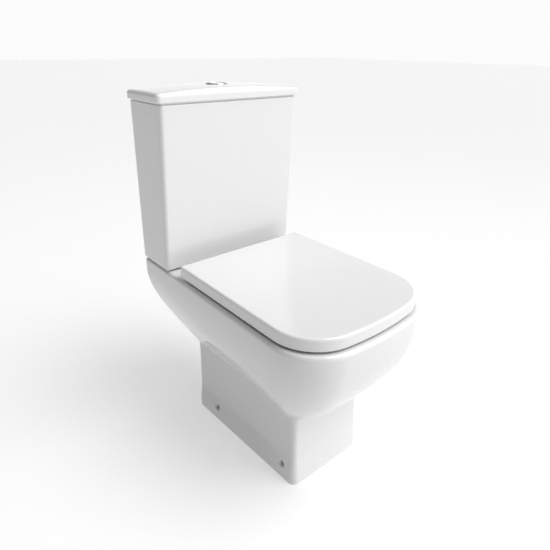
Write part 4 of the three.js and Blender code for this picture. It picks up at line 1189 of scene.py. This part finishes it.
def push_rod(node, turn):
    x, y = -turn * ROD_X, VALVE_Y + turn * ROD_DY
    low, high = LEVER_Z + 4.5, BUTTON_UNDER_Z - GAP
    fitting(node, turned(x, y, [
        (0, low), (1.4, low + 0.1), (2.4, low + 0.7), (2.8, low + 1.8), (2.8, high - 0.4),
        (2.4, high), (0, high)], 40))


button_bezel()
fitting("button_locknut", sleeve(
    0, VALVE_Y, LOCKNUT_TOP_Z - 8, LOCKNUT_TOP_Z, 22.4, 26.8, 0.6, 96))
ribbed("button_locknut", 0, VALVE_Y, LOCKNUT_TOP_Z - 7.4, LOCKNUT_TOP_Z - 1.4, 26.8, 1.2, 20)
for flush, turn in (("full", -1), ("half", 1)):
    button_half(f"{flush}_flush_button", -turn)
    push_rod(f"{flush}_push_rod", turn)
    low, high = HOUSING_Z + 3 + GAP, BUTTON_UNDER_Z - GAP
    x, y = -turn * ROD_X, VALVE_Y + turn * ROD_DY
    spring = wound(f"fine_{flush}_button_spring", f"{flush}_button_spring", x, y,
                   low + 0.6, high - 0.6, 4.5, 0.6, 4)
    travel = next(joint["range_m"][1] for joint in frame["joints"]
                  if joint["name"] == f"{flush}_flush_press") / MM
    1 - travel / (high - low)
    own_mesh(spring)

# ------------------------------------------------------------------ fill valve

FILL_HEAD_Z = 690
ARM_Z = 735
ARM_PIVOT_X = FILL_X + 12
LINK_X = FILL_X - 30
FLOAT_Z = 560


def fill_valve_body():
    fitting("fill_valve_body", turned(FILL_X, VALVE_Y, [
        (6, 348.6), (6.6, 348), (9.4, 348), (10, 348.8), (10, FLANGE_Z), (16.4, FLANGE_Z),
        (17, FLANGE_Z + 0.6), (17, FLANGE_Z + 3.4), (16.2, FLANGE_Z + 4), (10.5, FLANGE_Z + 4.6),
        (9, FLANGE_Z + 6), (9, FILL_HEAD_Z - 0.9), (8.4, FILL_HEAD_Z - GAP), (6, FILL_HEAD_Z - GAP),
        (6, 348.6)]))
    thread("fill_valve_body", FILL_X, VALVE_Y, 349.5, 411, 9.9, 1.4)


def fill_valve_head():
    top = FILL_HEAD_Z + 36
    shapes = [turned(FILL_X, VALVE_Y, [
        (0, FILL_HEAD_Z), (14.2, FILL_HEAD_Z), (15, FILL_HEAD_Z + 0.6), (15.7, FILL_HEAD_Z + 3),
        (15.2, FILL_HEAD_Z + 4), (15.2, FILL_HEAD_Z + 28), (16, FILL_HEAD_Z + 28.8),
        (16, FILL_HEAD_Z + 30), (13.6, top - 1), (12.6, top), (0, top)])]
    for side in (-1, 1):
        y = VALVE_Y + side * 6.4
        x = ARM_PIVOT_X - 1
        shapes.append(block((x - 5, y - 1.6, FILL_HEAD_Z + 20), (x + 5, y + 1.6, ARM_Z + 1), 0.5))
        shapes.append(rod((x, y - 1.6, ARM_Z), (x, y + 1.6, ARM_Z), 5, 0.4))
    ends = [(ARM_PIVOT_X, VALVE_Y + reach, ARM_Z) for reach in (-12, 12)]
    shapes.append(cut(rod(*ends, 2.3)))
    fitting("fill_valve_head", *shapes)
    ribbed("fill_valve_head", FILL_X, VALVE_Y, FILL_HEAD_Z + 4, FILL_HEAD_Z + 28, 15.2, 0.75, 30)


def float_cup():
    high = FLOAT_Z + 80
    cup = turned(FILL_X, VALVE_Y, [
        (10, FLOAT_Z + 0.8), (10.8, FLOAT_Z), (24.6, FLOAT_Z), (26, FLOAT_Z + 1.4),
        (26, FLOAT_Z + 24), (25.5, FLOAT_Z + 24.4), (25.5, FLOAT_Z + 25.6), (26, FLOAT_Z + 26),
        (26, high - 2.4), (25.4, high - 0.9), (24, high), (10.8, high), (10, high - 0.8),
        (10, FLOAT_Z + 0.8)], 96)
    lug = block((LINK_X - 5, VALVE_Y - 5, FLOAT_Z + 70), (FILL_X - 22, VALVE_Y + 5, FLOAT_Z + 78), 0.8)
    ends = [(LINK_X, VALVE_Y, FLOAT_Z + reach) for reach in (60, 90)]
    fitting("float_cup", cup, lug, cut(rod(*ends, 2.1)))


def float_arm():
    y = VALVE_Y
    bar = block((LINK_X - 10.5, y - 4, ARM_Z - 2), (ARM_PIVOT_X, y + 4, ARM_Z + 2), 0.7)
    boss = rod((ARM_PIVOT_X, y - 4, ARM_Z), (ARM_PIVOT_X, y + 4, ARM_Z), 4)
    trunnion = rod((ARM_PIVOT_X, y - 7.6, ARM_Z), (ARM_PIVOT_X, y + 7.6, ARM_Z), 1.9)
    slot = block((LINK_X - 7.5, y - 2.3, ARM_Z - 5), (LINK_X + 5, y + 2.3, ARM_Z + 5), 1.6)
    groove = block((LINK_X + 10, y - 2.4, ARM_Z + 0.8), (ARM_PIVOT_X - 6, y + 2.4, ARM_Z + 4), 0.4)
    fitting("float_arm", bar, boss, trunnion, cut(slot), cut(groove))


fill_valve_body()
ring_seal("fill_valve_washer", FILL_X, CISTERN_FLOOR_Z + GAP, CISTERN_FLOOR_Z + 3.2, 10.7, 16.5)
backnut("fill_valve_backnut", FILL_X, 392, 10.7, 17, 1.0, 16)
fill_valve_head()
float_cup()
fitting("float_link", rod((LINK_X, VALVE_Y, FLOAT_Z + 64), (LINK_X, VALVE_Y, ARM_Z + 14), 1.7))
float_arm()

# ------------------------------------------------------------------ camera, floor and light

CAMERA_PLACE = (-0.63469, WALL_Y * MM - 1.04831, 0.88697)
CAMERA_YAW, CAMERA_PITCH = math.radians(-40.945), math.radians(-20.129)
CAMERA_ROLL = math.radians(0.749)
CAMERA_LENS = 31.90
CAMERA_SHIFT = (-0.0181, -0.0911)
BEHIND = (0.66, 0.75, 0)
WINDOW_SIDE = (0.52, -0.70, 0.49)
SUN_TRAVEL = (-0.36, 0.46, -0.95)
FLOOR_HALF_M = 30.0


def make_camera():
    ahead = Vector((math.sin(-CAMERA_YAW) * math.cos(CAMERA_PITCH),
                    math.cos(CAMERA_YAW) * math.cos(CAMERA_PITCH), math.sin(CAMERA_PITCH)))
    right = ahead.cross(Vector((0, 0, 1))).normalized()
    up = right.cross(ahead)
    c, s = math.cos(CAMERA_ROLL), math.sin(CAMERA_ROLL)
    axes = (right * c + up * s, up * c - right * s, -ahead)
    camera = bpy.data.objects.new("camera", bpy.data.cameras.new("camera"))
    rows = [(*(axis[i] for axis in axes), CAMERA_PLACE[i]) for i in range(3)]
    camera.matrix_world = Matrix([*rows, (0, 0, 0, 1)])
    camera.data.lens, camera.data.sensor_width = CAMERA_LENS, 36.0
    camera.data.shift_x, camera.data.shift_y = CAMERA_SHIFT
    bpy.context.scene.collection.objects.link(camera)
    bpy.context.scene.camera = camera


def make_floor():
    finish = Finish("pale_floor", Roughness=0.6)
    grain = finish.noise(finish.place, 3.0, 4.0)
    finish.wear(finish.mix(grain, grey(0.46), grey(0.48)))
    finish.shader.inputs["Emission Color"].default_value = grey(1.0)
    finish.shader.inputs["Emission Strength"].default_value = 0.5
    half = FLOOR_HALF_M
    corners = [(-half, -half, 0), (half, -half, 0), (half, half, 0), (-half, half, 0)]
    mesh = bpy.data.meshes.new("floor")
    mesh.from_pydata(corners, [], [(0, 1, 2, 3)])
    mesh.materials.append(finish.material)
    floor = bpy.data.objects.new("floor", mesh)
    bpy.context.scene.collection.objects.link(floor)


def softbox(name, place, aim, size, power):
    light = bpy.data.lights.new(name, "AREA")
    light.shape, light.size, light.size_y, light.energy = "RECTANGLE", size[0], size[1], power
    lamp = bpy.data.objects.new(name, light)
    lamp.location = place
    lamp.rotation_euler = (Vector(aim) - Vector(place)).to_track_quat("-Z", "Y").to_euler()
    bpy.context.scene.collection.objects.link(lamp)


def make_world():
    """A studio with a bright window, white behind the toilet and low down, and dim elsewhere."""
    world = bpy.data.worlds.new("studio")
    world.use_nodes = True
    tree = Tree(world.node_tree)
    background = world.node_tree.nodes["Background"]
    away = tree.node("ShaderNodeTexCoord", out="Generated")
    height = tree.node("ShaderNodeSeparateXYZ", inputs={0: away}, out=2)
    behind = tree.vector("DOT_PRODUCT", away, BEHIND, out=1)
    band = (1 - height.between(0.35, 0.6)) * behind.between(0.35, 0.85)
    background.inputs["Color"].default_value = grey(1.0)
    front = tree.vector("DOT_PRODUCT", away, WINDOW_SIDE, out=1)
    horizon = 1 - height.between(0.08, 0.32)
    strength = 0.05 + 0.32 * horizon + 0.6 * band + 1.3 * front.between(0.55, 0.95)
    tree.feed(background.inputs["Strength"], strength)
    bpy.context.scene.world = world


def make_light():
    sun = bpy.data.lights.new("key_sun", "SUN")
    sun.energy, sun.angle = 1.6, math.radians(36)
    lamp = bpy.data.objects.new("key_sun", sun)
    lamp.rotation_euler = Vector(SUN_TRAVEL).to_track_quat("-Z", "Y").to_euler()
    bpy.context.scene.collection.objects.link(lamp)
    softbox("front_softbox", (1.5, -2.4, 1.9), (0, 0, 0.45), (1.5, 1.5), 10)
    softbox("top_softbox", (0.1, 0.0, 3.0), (0, 0, 0), (2.4, 2.4), 24)


make_world()
make_camera()
make_floor()
make_light()
bpy.context.scene.view_settings.view_transform = "Standard"
